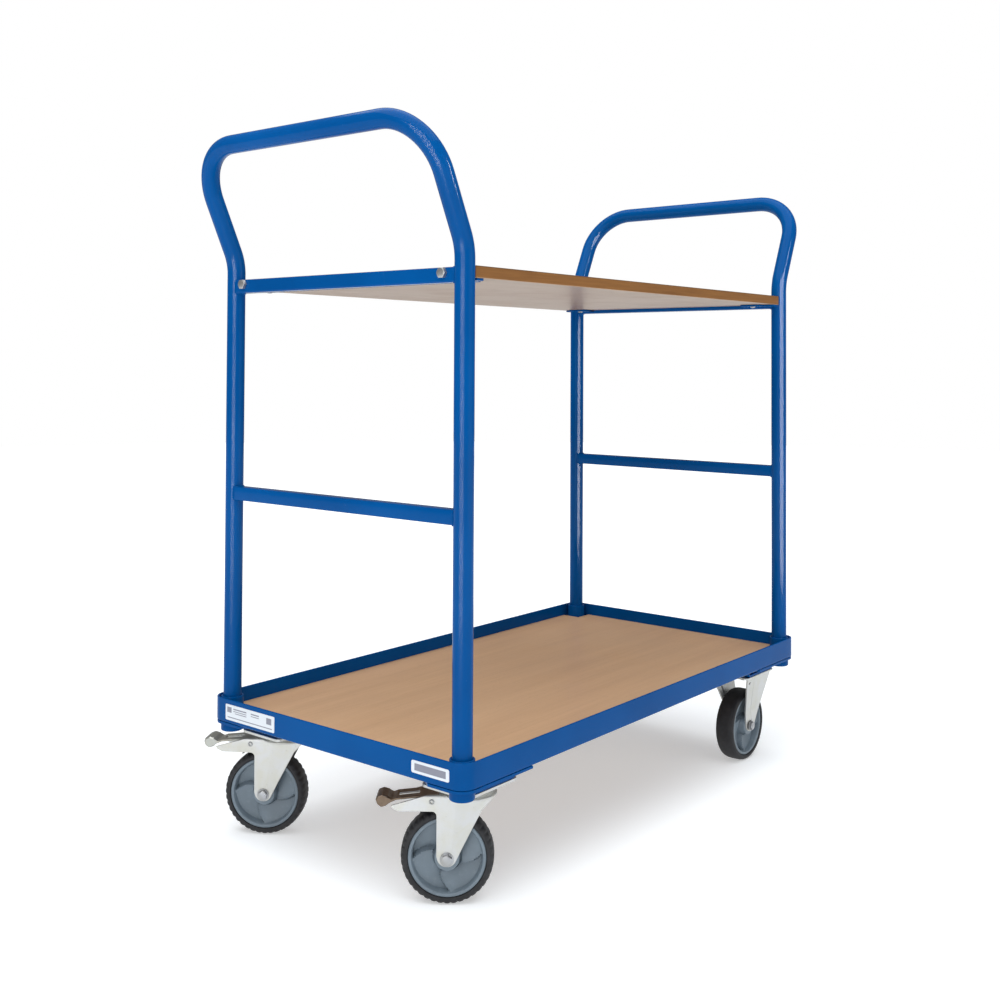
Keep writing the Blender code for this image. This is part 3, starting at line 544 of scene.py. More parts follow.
BLUE = powder_coat()
BEECH = beech("beech_laminate", (0.650, 0.415, 0.240), (0.570, 0.350, 0.197), 0.20)
# the boards' undersides: a darker copy of the same beech, which is painted shade
BEECH_PAINTED_SHADE = beech("beech_laminate_under", (0.270, 0.188, 0.130), (0.235, 0.156, 0.104), 0.05)
EDGE = board_edge("board_edge", (0.235, 0.105, 0.030), (0.165, 0.070, 0.020))
EDGE_DARK = board_edge("board_edge_dark", (0.075, 0.034, 0.018), (0.050, 0.022, 0.012))
EDGE_LIGHT = board_edge("board_edge_light", (0.42, 0.27, 0.16), (0.34, 0.21, 0.12))
ZINC = zinc("zinc_plate", (0.545, 0.550, 0.550), (0.545, 0.540, 0.490))
ZINC_BRIGHT = zinc("zinc_bolts", (0.40, 0.41, 0.43), (0.35, 0.35, 0.34), 0.30)
ZINC_PEDAL = zinc("zinc_pedal", (0.42, 0.43, 0.40), (0.36, 0.34, 0.29), 0.34)
# zinc tinted brown, for the right pedal
ZINC_BROWN = zinc("zinc_pedal_tarnished", (0.19, 0.140, 0.100), (0.12, 0.085, 0.06), 0.30)
TYRE = rubber("tyre_rubber", (0.013, 0.013, 0.015), (0.046, 0.046, 0.050), 0.5)
SHOE = rubber("brake_rubber", (0.022, 0.022, 0.022), (0.07, 0.065, 0.06), 0.4)
RIM = moulded("rim_plastic", (0.165, 0.210, 0.250), (0.32, 0.34, 0.36))


# ---- deck frame ----
UPRIGHT = [(0, FRAME_LOW), (0, FRAME_TOP), (-WALL, FRAME_TOP)]  # (out from the outer face, height)


def frame_rails():
    """Steel angle between the corners."""
    foot = [(-WALL, FRAME_LOW + WALL), (-ANGLE, FRAME_LOW + WALL), (-ANGLE, FRAME_LOW)]
    angle = rounded(UPRIGHT + foot, (0.0025, 0.0011, 0.0011, 0.003, 0.001, 0.0005), 4)
    rails = {
        "side_rail_left": (0.0, FRAME_Y, CORNER_IN.x),
        "side_rail_right": (pi, FRAME_Y, CORNER_IN.x),
        "end_rail_swivel": (pi / 2, FRAME_X, CORNER_IN.y),
        "end_rail_fixed": (-pi / 2, FRAME_X, CORNER_IN.y),
    }
    for name, (turn, outside, half) in rails.items():
        shape = prism([(outside + u, v) for u, v in angle], -half, half, "YZ")
        skin(name, shape, BLUE, COAT, Matrix.Rotation(turn, 4, "Z"))


def corner_skin(node, whole, sx, sy, **looks):
    """A blue piece shaped for the fixed left corner, mirrored on to another."""
    bmesh.ops.scale(whole, vec=(sx, sy, 1), verts=whole.verts)
    skin(node, whole, BLUE, COAT, Matrix.Translation((sx * POST_X, sy * POST_Y, 0)), **looks)


def frame_corners():
    """The angle's upright leg bent round each handle leg, a floor web, and the sleeve that the leg stands in."""
    reach = POST_X - CORNER_IN.x
    steps = 12
    path = [((-reach, POST_INSET), (0, 1))]
    bend = arc((0, 0), POST_INSET, 90, 0, steps)
    path += [(point, (point[0] / POST_INSET, point[1] / POST_INSET)) for point in bend]
    path += [((POST_INSET, -reach), (1, 0))]
    section = rounded(UPRIGHT + [(-WALL, FRAME_LOW)], (0.0025, 0.0011, 0.0011, 0), 4)
    mid = POST_INSET - WALL / 2
    for name, sx, sy in CORNERS:
        wall = loft([[(x + u * nx, y + u * ny, v) for u, v in section] for (x, y), (nx, ny) in path])
        web_outline = [(-reach, mid)] + arc((0, 0), mid, 90, 0, steps) + [(mid, -reach), (-reach, -reach)]
        web = prism(web_outline, FRAME_LOW + 0.0002, FRAME_LOW + WALL)
        hole = TUBE_R + 0.0004
        foot = [(hole, SLEEVE_BOTTOM + 0.0012), (hole + 0.0009, SLEEVE_BOTTOM)]
        foot += arc((SLEEVE_R - 0.0022, SLEEVE_BOTTOM + 0.0022), 0.0022, -90, 0, 5)
        head = arc((SLEEVE_R - 0.0012, SLEEVE_TOP - 0.0012), 0.0012, 0, 90, 4)
        head += [(hole + 0.0006, SLEEVE_TOP), (hole, SLEEVE_TOP - 0.0006)]
        sleeve = turned(foot + head, 56)
        seam_r, seam_z = SLEEVE_R + 0.0002, FRAME_LOW + WALL + 0.0004
        seam = weld([Vector((seam_r * cos(a), seam_r * sin(a), seam_z)) for a in around(60)], WELD_R)
        whole = joined(wall, web, sleeve, seam)
        corner_skin(f"corner_{name}", whole, sx, sy)


def weld(points, radius):
    """A weld bead round a closed path, with the ripples that a torch leaves."""
    ripples = [0.16 * sin(2 * pi * 0.27 * i) + 0.14 * noise.noise(p * 300) for i, p in enumerate(points)]
    return pipe(points, [radius * (1 + ripple) for ripple in ripples], None, 8, closed=True)


def caster_brackets():
    """A gusset under each corner with a folded channel below it for the caster's plate, and the plate's bolts."""
    thick = PLATE_WALL
    edge = POST_INSET - 0.0005
    gusset_end = 0.062
    pad_half = 0.046
    pad_x = POST_X - CASTER_X
    pad_y = POST_Y - CASTER_Y
    far_x = -(pad_x + PLATE_HALF_X)
    far_y = -(pad_y + PLATE_HALF_Y)
    near_x = -(pad_x - PLATE_HALF_X)
    base = BRACKET_TOP - thick
    floor = BRACKET_LOW
    for name, sx, sy in CORNERS:
        outline = arc((0, 0), edge, 0, 90, 10)
        outline += [(far_x, edge), (far_x, far_y), (near_x, far_y), (edge, edge - gusset_end)]
        cutter = disc(SLEEVE_R + 0.0005, base - 0.01, BRACKET_TOP + 0.01)
        plate = carved(prism(outline, base, BRACKET_TOP), cutter)
        walls = [(-pad_half, base), (-pad_half, floor), (pad_half, floor), (pad_half, base)]
        walls += [(pad_half - thick, base), (pad_half - thick, floor + thick)]
        walls += [(thick - pad_half, floor + thick), (thick - pad_half, base)]
        channel = rounded([(u - pad_x, v) for u, v in walls], (0, 0.0055, 0.0055, 0, 0, 0.002, 0.002, 0), 5)
        whole = joined(plate, prism(channel, -pad_y - PLATE_HALF_Y, PLATE_HALF_Y - pad_y, "XZ"))
        corner_skin(f"caster_bracket_{name}", whole, sx, sy, edge=0.0006)
        plate_bolts(name, sx, sy, floor + thick)


def plate_bolts(name, sx, sy, seat):
    """Four bolts that hold a caster's plate: round heads below the plate, washers and nuts inside the channel."""
    end, side = name.split("_")
    if end == "swivel":
        under, holder, half_y = PLATE_TOP - PLATE_WALL, f"swivel_plate_{side}", 0.0310
    else:
        under, holder, half_y = PLATE_TOP - WALL, f"fixed_fork_{side}", 0.0285
    half_x = 0.0405
    head = [(0, under - 0.0030), (0.0042, under - 0.0027), (0.0066, under - 0.0014), (0.0072, under), (0, under)]
    stacks = []
    for u in (-1, 1):
        for v in (-1, 1):
            parts = [turned(head, 28)]
            parts += [disc(0.0080, seat, seat + 0.0012, edge=0.0002), disc(0.0039, under, seat + 0.0075)]
            parts += [hexagon(0.0072, seat + 0.0012, seat + 0.0062, turn=0.9 * u - 0.3 * v)]
            stacks.append(moved(joined(*parts), x=u * half_x, y=v * half_y))
    place = Matrix.Translation((sx * CASTER_X, sy * CASTER_Y, 0))
    piece(f"plate_bolts_{name}", joined(*stacks), ZINC_BRIGHT, STEEL, holder, place)


def paint(shape, material):
    """Gives each face the number of its material, from whether the face is level and its middle's height."""
    for face in shape.faces:
        face.normal_update()
        face.material_index = material(abs(face.normal.z) > 0.5, face.calc_center_median().z)


def deck_board():
    """The board in the frame's tray, notched round the four sleeves."""
    half_x, half_y = high("deck_board").x, high("deck_board").y
    notch_x = POST_X - SLEEVE_R - 0.0015
    notch_y = POST_Y - SLEEVE_R - 0.0015
    quarter = [(half_x, notch_y), (notch_x, notch_y), (notch_x, half_y)]
    outline = quarter + [(-u, v) for u, v in reversed(quarter)]
    outline += [(-u, -v) for u, v in quarter] + [(u, -v) for u, v in reversed(quarter)]
    shape = prism(rounded(outline, 0.0015, 3), DECK_TOP - DECK_THICK, DECK_TOP)
    # top, edge band and underside; the underside's darker beech is painted shade
    paint(shape, lambda level, z: 1 if not level else 0 if z > DECK_TOP - DECK_THICK / 2 else 2)
    skin("deck_board", shape, [BEECH, EDGE, BEECH_PAINTED_SHADE], WOOD, edge=0.0004)


# ---- handles, rails and shelf ----
def facing_out(sign, x, y=0.0, z=0.0):
    """A place at one end of the trolley, x metres out, with its own x axis pointing outwards."""
    return Matrix.Translation((sign * x, y, z)) @ Matrix.Rotation(0 if sign > 0 else pi, 4, "Z")


def handles():
    """One tube an end: two legs, a lean outwards, and a grip across the top."""
    leg = (0, -POST_Y, HANDLE_LOW.z), (0, -POST_Y, BEND_Z), (GRIP_REACH, -POST_Y, GRIP_Z)
    route = list(leg) + [(x, -y, z) for x, y, z in reversed(leg)]
    points = rounded_path(route, (LEAN_R, GRIP_CORNER_R, GRIP_CORNER_R, LEAN_R), 18)
    for end, sign in ENDS:
        outer, inner = ([r] * len(points) for r in (TUBE_R, TUBE_R - TUBE_WALL))
        tube = pipe(points, outer, inner, 56)
        skin(f"handle_{end}", tube, BLUE, COAT, facing_out(sign, POST_X))


def square_bar(height):
    """A square tube on Y whose ends are coped to the round legs and welded to them all round."""
    outer = rounded(rectangle(BAR_HALF, BAR_HALF), 0.0024, 4)
    inner = rounded(rectangle(BAR_HALF - TUBE_WALL, BAR_HALF - TUBE_WALL), 0.0012, 4)

    def end(outline, sign, clear=-0.0002):
        return [(u, sign * (POST_Y - sqrt((TUBE_R + clear) ** 2 - u * u)), height + v) for u, v in outline]

    bar = loft([end(outer, -1), end(outer, 1), end(inner, 1), end(inner, -1)], closed=True)
    beads = []
    for sign in (-1, 1):
        beads.append(weld([Vector(p) for p in end(dense(outer, 0.0012), sign, 0.0006)], WELD_R))
    return joined(bar, *beads)


def dense(outline, step):
    """The closed outline with points no further apart than step."""
    points = []
    for here, there in zip(outline, outline[1:] + outline[:1]):
        run, rise = there[0] - here[0], there[1] - here[1]
        count = max(1, round(hypot(run, rise) / step))
        points += [(here[0] + run * i / count, here[1] + rise * i / count) for i in range(count)]
    return points


def cross_rails():
    for end, sign in ENDS:
        for stem in ("mid_rail", "top_bar"):
            name = f"{stem}_{end}"
            skin(name, square_bar(middle_of(name, "z")), BLUE, COAT, Matrix.Translation((sign * POST_X, 0, 0)))


def shelf_board():
    """The upper board: laminate on both faces, a banded edge, and the laminates' own edges as fine lines."""
    laminate = 0.0008
    outline = rounded(rectangle(SHELF_HIGH.x, SHELF_HIGH.y), 0.0012, 3)
    levels = (SHELF_LOW.z, SHELF_LOW.z + laminate, SHELF_HIGH.z - laminate, SHELF_HIGH.z)
    shape = loft([[(u, v, z) for u, v in outline] for z in levels])

    def material(level, z):
        band = sum(z > height for height in levels[1:3])
        # material 4, the darker beech on the underside, is painted shade
        return (0 if band else 4) if level else (3, 1, 2)[band]

    paint(shape, material)
    skin("shelf_board", shape, [BEECH, EDGE, EDGE_DARK, EDGE_LIGHT, BEECH_PAINTED_SHADE], WOOD, edge=0.0003)


def shelf_brackets():
    """Bent angle brackets under the upper board, bolted to the top bars and screwed to the board."""
    half = 0.020
    wing_reach = 0.0205  # past the bend
    bend_end, neck, wing_end = -0.0065, -0.0198, -0.0258
    for end, sx in ENDS:
        for side, sy in SIDES:
            node = f"shelf_bracket_{end}_{side}"
            down, up = low(node), high(node)
            upright = max(abs(down.x), abs(up.x))
            y = middle_of(f"shelf_screw_{end}_{side}", "y")
            section = [(0, down.z), (0, up.z), (-WALL, up.z), (-WALL, down.z + WALL)]
            section += [(bend_end, down.z + WALL), (bend_end, down.z)]
            bend = prism(rounded(section, (0.0045, 0.0008, 0.0008, 0.0015, 0, 0), 5), -half, half, "XZ")
            wing = sx * sy
            end_x = -(upright - min(abs(down.x), abs(up.x)))
            outside = half + wing_reach
            flat = [(bend_end, -half), (bend_end, outside), (neck, outside), (wing_end, outside - 0.006)]
            flat += [(wing_end, half), (end_x, half), (end_x, -half)]
            flat = rounded(flat, (0, 0.001, 0.002, 0.002, 0.001, 0.003, 0.003), 3)
            sheet = prism([(u, wing * v) for u, v in flat], down.z, down.z + WALL)
            skin(node, joined(bend, sheet), BLUE, COAT, facing_out(sx, upright, y), edge=0.0004)
            shelf_bolt(end, side, sx)
            shelf_screw(end, side)


def shelf_bolt(end, side, sx):
    """A hexagon head outside the top bar, with a flat uppermost, and the shaft through to the bracket."""
    node = f"shelf_bolt_{end}_{side}"
    centre = (low(node) + high(node)) / 2
    seat = BAR_HALF
    tip = max(abs(low(node).x), abs(high(node).x)) - POST_X
    inside = POST_X - min(abs(low(node).x), abs(high(node).x))
    parts = [hexagon(0.0075, seat + 0.0001, tip, "X"), disc(0.0039, -inside, seat + 0.0002, "X")]
    skin(node, joined(*parts), ZINC_BRIGHT, STEEL, facing_out(sx, POST_X, centre.y, centre.z))


def shelf_screw(end, side):
    """A pan-head screw with a cross recess, driven up into the board."""
    node = f"shelf_screw_{end}_{side}"
    down, up = low(node), high(node)
    radius = (up.x - down.x) / 2
    dome = [(0, 0.0)] + [(radius * sin(a), 0.0022 * (1 - cos(a))) for a in (0.45, 0.8, 1.1, 1.35, 1.5)]
    head = turned(dome + [(radius, 0.0022), (0, 0.0022)], 32)
    arms = ((0.0018, 0.0004), (0.0004, 0.0018))
    slots = joined(*[prism(rectangle(u, v), -0.001, 0.0011) for u, v in arms])
    shaft = disc(0.0019, 0.0020, up.z - down.z)
    shape = joined(carved(head, slots), shaft)
    place = Matrix.Translation(((down.x + up.x) / 2, (down.y + up.y) / 2, down.z))
    skin(node, shape, ZINC_BRIGHT, STEEL, place)


def labels():
    """Two stickers on the end rail over the swivel casters, with plain bars in place of print."""
    long_bars = [(0.046, 0.0040, 0.0050, 0.0040), (0.022, 0.0062, 0.0150, 0.0009), (0.022, 0.0030, 0.0150, 0.0006)]
    long_bars += [(0.020, 0.0002, 0.0130, 0.0006), (-0.012, 0.0062, 0.0090, 0.0009)]
    long_bars += [(-0.012, 0.0030, 0.0090, 0.0006), (-0.043, 0.0030, 0.0055, 0.0045)]
    long_bars += [(0.0, -0.0070, 0.0500, 0.0007)]
    small_bars = [(0.0, 0.0, 0.0270, 0.0046)]
    for name, bars, radius in (("label_long", long_bars, 0.0015), ("label_small", small_bars, 0.0025)):
        down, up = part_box(name)
        middle = (down + up) / 2
        film = label_film(name, (middle.y, middle.z), bars)
        half_y, half_z = (up.y - down.y) / 2, (up.z - down.z) / 2
        outline = rounded(rectangle(half_y, half_z, middle.y, middle.z - FLOOR), radius, 5)
        shape = prism(outline, down.x + 0.0002, up.x + 0.0003, "YZ")
        skin(name, shape, film, "label_film")


# ---- caster plates, creases and wheels ----
def caster_plate(thick):
    return prism(rounded(rectangle(PLATE_HALF_X, PLATE_HALF_Y), PLATE_CORNER, 6), PLATE_TOP - thick, PLATE_TOP)


def crease(top, foot, offsets):
    """A crease down a leg: how far ahead of it (x, z) lies, and its bends at the offsets, for pressed()."""
    top = Vector(top)
    way = (Vector(foot) - top).normalized()
    forward = Vector((way.y, -way.x))  # square to the crease, towards the leg's leading edge
    normal = (forward.x, 0, forward.y)
    bends = [((top.x + forward.x * d, 0, top.y + forward.y * d), normal) for d in offsets]
    return lambda x, z: (Vector((x, z)) - top).dot(forward), bends


def both_cheeks(outline, bends, reach, *holes):
    """A fork's two cheeks, bored through along Y at each hole: (radius, x, z)."""
    far = 0.06  # past either cheek
    cheeks = []
    for side in (1, -1):
        cutters = []
        for radius, x, z in holes:
            cutter = turned([(0, -far), (radius, -far), (radius, far), (0, far)], 24, "Y")
            cutters.append(moved(cutter, x=x, z=z))
        cheeks.append(carved(pressed(outline, bends, reach, side), joined(*cutters)))
    return joined(*cheeks)


def tyre(lugs):
    """The tyre, turned about Y. With lugs, its shoulders are scalloped."""
    count = lugs * 8 if lugs else 128
    flank = WHEEL_R - 0.0045
    half = [(0.0528, 0.0162), (0.0540, 0.0169), (0.0562, TYRE_HALF), (flank, 0.0166)]
    half += [(WHEEL_R - 0.0024, 0.0151), (WHEEL_R - 0.0010, 0.0126), (WHEEL_R - 0.0002, 0.0092), (WHEEL_R, 0.0045)]
    profile = half + [(r, -w) for r, w in reversed(half)]
    bite = {3: 0.0005, 4: 0.0010, 5: 0.0010, 6: 0.0005}
    rings = []
    for a in around(count):
        groove = (0.5 - 0.5 * cos(lugs * a)) ** 3 if lugs else 0.0
        ring = []
        for k, (r, w) in enumerate(profile):
            depth = bite.get(min(k, len(profile) - 1 - k), 0.0) * groove
            reach = r - depth
            ring.append((reach * cos(a), w - depth * 0.5 * (1 if w > 0 else -1), reach * sin(a)))
        rings.append(ring)
    return loft(rings, closed=True)


def rim(first):
    """A moulded rim: hub, ring, and between them four sloping blades that step down to each other.
    First is the angle of one step, in degrees."""
    count = 240
    blades = 4
    spiral = 3.4  # turns that a step's line makes in each metre outwards
    crest = 0.955  # how far along a blade its highest line is
    hub = [(0.0046, HUB_HALF), (0.0150, HUB_HALF), (0.0161, HUB_HALF - 0.0005), (0.0166, HUB_HALF - 0.0016)]
    hub += [(0.0170, 0.0075), (0.0182, 0.0060), (0.0192, 0.0065), (0.0197, 0.0085)]
    web = [0.0204] + [0.0230 + 0.0030 * i for i in range(7)] + [0.0435, 0.0455]
    ring = [(0.0466, 0.0118), (0.0474, 0.0146), (0.0482, 0.0154), (0.0494, 0.0155), (0.0512, 0.0155)]
    ring += [(0.0520, 0.0152), (RIM_R, 0.0144)]

    def blade(radius, angle):
        lean = spiral * (radius - 0.030)
        turn = ((angle - radians(first)) / (2 * pi) * blades + lean * blades) % 1.0
        rise = turn / crest if turn < crest else (1 - turn) / (1 - crest)
        lip = 0.0012 * exp(-((turn - 0.93) / 0.034) ** 2)
        return 0.0022 + 0.0084 * rise + lip

    def side(angle):
        return hub + [(r, blade(r, angle)) for r in web] + ring

    rings = []
    for a in around(count):
        front = [(r * cos(a), w, r * sin(a)) for r, w in side(a)]
        back = [(r * cos(a), -w, r * sin(a)) for r, w in side(-a)]
        rings.append(front + back[::-1])
    return loft(rings, closed=True)


def axle_bolt(reach):
    """A bolt through fork and hub: washer and head on one side, washer, nut and thread end on the other."""
    seat = reach - 0.0053
    parts = [disc(0.0040, -seat, seat, "Y"), disc(0.0092, seat, seat + 0.0011, "Y", 0.0003)]
    parts += [hexagon(0.0075, seat + 0.0011, reach, "Y", 0.35)]
    parts += [disc(0.0092, -seat, -seat - 0.0011, "Y", 0.0003)]
    parts += [hexagon(0.0075, -seat - 0.0011, -reach + 0.0006, "Y", 0.9)]
    parts += [disc(0.0038, -reach + 0.0010, -reach, "Y", 0.0005)]
    return joined(*parts)


def wheel(stem, place, lugs, first):
    """Tyre, rim and axle bolt about the y axis of the place."""
    skin(f"tyre_{stem}", tyre(lugs), TYRE, "tyre_rubber", place, sharp=radians(60))
    skin(f"rim_{stem}", rim(first), RIM, "rim_plastic", place, sharp=radians(40))
    skin(f"axle_{stem}", axle_bolt(half_size("axle_fixed_left", "y")), ZINC_BRIGHT, STEEL, place)


# ---- swivel casters ----
TRAIL = gap("wheel_spin_swivel_left", "swivel_turn_left")
AXLE_Z = WHEEL_R
AXLE_BORE = 0.0042
FORK_OUT = 0.0225
CHEEK_TOP = 0.146
CROWN_R = 0.037
CROWN_TOP = 0.1465
RACE_R = 0.033
RACE_TOP = 0.150
LEG_TIP_R = 0.0135
LEG_TIP_Z = AXLE_Z + 0.0035
PIVOT_X = gap("brake_press_left", "swivel_turn_left")
PIVOT_Z = JOINTS["brake_press_left"]["pos_m"][2] - FLOOR
TOE_START = 0.057  # where the pedal's rolled toe begins, from the hinge


def swivel_plate(side, place):
    """Mounting plate with the upper ball race pressed out of it and the king pin's head below the crown."""
    cup = RACE_TOP + 0.0006
    profile = [(0, cup), (RACE_R - 0.003, cup), (RACE_R - 0.0012, cup + 0.0004), (RACE_R, cup + 0.0018)]
    profile += [(RACE_R + 0.0012, cup + 0.0040), (RACE_R + 0.003, PLATE_TOP - 0.0037)]
    profile += [(RACE_R + 0.0045, PLATE_TOP - 0.0035), (0, PLATE_TOP - 0.0035)]
    pin_top = CROWN_TOP - 0.0041
    pin = [(0, pin_top - 0.0064), (0.0062, pin_top - 0.0064), (0.0088, pin_top - 0.0050)]
    pin += [(0.0100, pin_top - 0.0026), (0.0100, pin_top), (0.0060, pin_top)]
    pin += [(0.0060, cup + 0.001), (0, cup + 0.001)]
    node = f"swivel_plate_{side}"
    skin(node, caster_plate(PLATE_WALL), ZINC, STEEL, place, edge=0.0005)
    race = joined(turned(profile, 72), turned(pin, 40))
    piece(f"upper_race_{side}", race, ZINC, STEEL, node, place)


def swivel_fork(side, place):
    """Crown with the lower ball race, and two cheeks folded down from it, each creased along its leg."""
    leg_back = TRAIL + LEG_TIP_R + 0.0005
    outline = [(leg_back, LEG_TIP_Z), (leg_back, 0.1190)]
    outline += arc((leg_back + 0.006, 0.1190), 0.006, 180, 90, 5)[1:]
    outline += [(0.0930, 0.1250), (0.1010, 0.1285), (0.1036, 0.1323), (0.0565, CHEEK_TOP), (-0.0285, CHEEK_TOP)]
    outline += [(-0.0330, 0.1430), (-0.0173, 0.1265), (0.0077, 0.0790)]
    outline += arc((TRAIL, LEG_TIP_Z), LEG_TIP_R, -155, 0, 18)[1:-1]
    fold = 0.0045
    fold_start = CHEEK_TOP - fold
    fold_end = 0.036  # the folded top stops short of the pedal
    soft = 0.0008
    ahead, bends = crease((0.016, CHEEK_TOP), (0.0235, 0.070), (-soft, soft))

    def reach(x, z):
        bent = max(0.0, ahead(x, z) - soft) * tan(radians(7))
        over = max(0.0, z - fold_start)
        folded = fold - sqrt(max(0.0, fold * fold - over * over)) if x < fold_end else 0.0
        return FORK_OUT - bent - folded * 0.7

    bends += [((0, 0, fold_start + fold * f), (0, 0, 1)) for f in (0.0, 0.35, 0.65, 0.85)]
    bends += [((fold_end, 0, 0), (1, 0, 0))]
    cheeks = both_cheeks(outline, bends, reach, (AXLE_BORE, TRAIL, AXLE_Z))
    under = CROWN_TOP - 0.0035
    crown = [(0, under), (CROWN_R - 0.0016, under), (CROWN_R - 0.0004, under + 0.0006), (CROWN_R, under + 0.0018)]
    crown += [(CROWN_R - 0.0004, CROWN_TOP - 0.0008), (CROWN_R - 0.0014, CROWN_TOP - 0.0001)]
    crown += [(RACE_R + 0.0018, CROWN_TOP), (RACE_R + 0.0006, CROWN_TOP + 0.0006)]
    crown += [(RACE_R - 0.0002, RACE_TOP - 0.0010), (RACE_R - 0.0012, RACE_TOP), (0, RACE_TOP)]
    node = f"swivel_fork_{side}"
    skin(node, cheeks, ZINC, STEEL, place, edge=0.0004, sharp=radians(40))
    piece(f"crown_{side}", turned(crown, 80), ZINC, STEEL, node, place, sharp=radians(50))


def brake(side, place, mat):
    """Pedal with its rolled toe, its pin, and its shoe over the tyre, all laid out on the hinge."""
    top = [(-0.0094, 0.0077), (0.0116, 0.0067), (0.0476, 0.0027), (0.0536, 0.0002), (0.0590, 0.0050)]
    top += [(0.0665, 0.0070), (0.0735, 0.0045), (0.0756, -0.0005), (0.0735, -0.0065), (0.0680, -0.0105)]
    under = [(0.0610, -0.0085), (0.0560, -0.0035), (0.0530, -0.0023), (0.0476, 0.0002), (0.0116, 0.0042)]
    under += [(-0.0094, 0.0052)]
    radii = (0.0006, 0, 0.004, 0.003, 0.0035, 0.0035, 0.0028, 0.0028, 0.0035, 0.0030)
    radii += (0.0045, 0.0030, 0.0035, 0.004, 0, 0.0006)
    half = 0.017
    toe = (0.0655, -0.0020)
    outline = rounded(top + under, radii, 5)
    rings = []
    for inset, size in ((0.0, 0.74), (0.0008, 0.86), (0.0020, 0.94), (0.0038, 1.0)):
        ring = []
        for u, v in outline:
            grown = size if u > TOE_START else 1.0
            ring.append((toe[0] + (u - toe[0]) * grown, half - inset, toe[1] + (v - toe[1]) * grown))
        rings.append(ring)
    strip = loft(rings + [[(u, -w, v) for u, w, v in ring] for ring in reversed(rings)])
    slot_x = 0.031
    slot = rounded(rectangle(0.0140, 0.0045, slot_x), 0.0010, 3)
    strip = carved(strip, prism(slot, -0.02, 0.02))
    ear = arc((0, 0), 0.0052, 200, 340, 8) + [(0.0085, 0.0055), (-0.0085, 0.0060)]
    ears = [prism(ear, s * (half - 0.0025), s * (half - 0.0001), "XZ") for s in (1, -1)]
    hinge = place @ Matrix.Translation((PIVOT_X, 0, PIVOT_Z))
    node = f"brake_pedal_{side}"
    skin(node, joined(strip, *ears), mat, STEEL, hinge, edge=0.0007, sharp=radians(45))
    lip = prism(rounded(rectangle(0.0146, 0.0051, slot_x), 0.0014, 3), 0.0030, 0.0043)
    lip = carved(lip, prism(rounded(rectangle(0.0139, 0.0044, slot_x), 0.0010, 3), 0.0, 0.01))
    slope = Matrix.Rotation(radians(6.3), 3, "Y")
    bmesh.ops.rotate(lip, matrix=slope, cent=(slot_x, 0, 0.0036), verts=lip.verts)
    piece(f"pedal_slot_{side}", lip, ZINC_BRIGHT, STEEL, node, hinge)

    sole_r = WHEEL_R + 0.0044  # the shoe's sole follows the tyre
    start, end = 0.0575, 0.0655
    spots = [start + (end - start) * i / 8 for i in range(9)]
    sole = [(x - PIVOT_X, AXLE_Z + sqrt(sole_r ** 2 - (x - TRAIL) ** 2) - PIVOT_Z) for x in spots]
    block = sole + [(end - PIVOT_X, 0.0033), (start - PIVOT_X, 0.0040)]
    skin(f"brake_shoe_{side}", prism(block, -0.011, 0.011, "XZ"), SHOE, "brake_rubber", hinge, edge=0.0005)

    head = FORK_OUT + 0.0001
    tip = FORK_OUT + 0.0018
    profile = [(0, -head + 0.0030), (0.0018, -head + 0.0030), (0.0019, -tip)]
    profile += [(0.0029, -tip + 0.0002), (0.0036, -head - 0.0004), (0.0036, -head), (0.003, -head)]
    profile += [(r, -w) for r, w in reversed(profile)]
    skin(f"pedal_pin_{side}", turned(profile, 28, "Y"), ZINC_BRIGHT, STEEL, hinge)


def swivel_casters():
    for side, sign in SIDES:
        x, y = JOINTS[f"swivel_turn_{side}"]["pos_m"][:2]
        axle = JOINTS[f"wheel_spin_swivel_{side}"]["axis"]
        heading = atan2(-axle[0], axle[1])
        still = Matrix.Translation((x, y, 0))
        turning = still @ Matrix.Rotation(heading, 4, "Z")
        swivel_plate(side, still)
        swivel_fork(side, turning)
        brake(side, turning, ZINC_PEDAL if sign > 0 else ZINC_BROWN)
        first = 19 if sign < 0 else 25
        wheel(f"swivel_{side}", turning @ Matrix.Translation((TRAIL, 0, AXLE_Z)), 40, first)


# ---- fixed casters ----
def fixed_casters():
    """Rigid forks: a plate with two tapering legs folded down from it."""
    under = PLATE_TOP - WALL
    knee = 0.089
    top = under + 0.001
    outline = [(0.041, top), (-0.041, top), (-0.0155, knee)]
    outline += arc((0, LEG_TIP_Z), LEG_TIP_R, -176, -32, 20) + [(0.0310, knee)]
    lean = 0.0183 / (top - knee)
    soft = 0.0016
    ahead, bends = crease((-0.0200, top), (0.0050, 0.066), (-soft, 0, soft))

    def reach(x, z):
        past = ahead(x, z)
        groove = 0.0014 * max(0.0, 1 - abs(past) / soft)
        return FORK_OUT + lean * max(0.0, z - knee) - groove - max(0.0, past - soft) * tan(radians(8))

    bends += [((0, 0, knee + d), (0, 0, 1)) for d in (-0.001, 0.001)]
    for side, sign in SIDES:
        place = Matrix.Translation((CASTER_X, sign * CASTER_Y, 0))
        cheeks = both_cheeks(outline, bends, reach, (AXLE_BORE, 0, AXLE_Z), (0.0024, -0.0300, 0.1465))
        node = f"fixed_fork_{side}"
        skin(node, cheeks, ZINC, STEEL, place, edge=0.0004, sharp=radians(40))
        piece(f"fixed_plate_{side}", caster_plate(WALL), ZINC, STEEL, node, place, edge=0.0005)
        wheel(f"fixed_{side}", place @ Matrix.Translation((0, 0, AXLE_Z)), 0, 30)


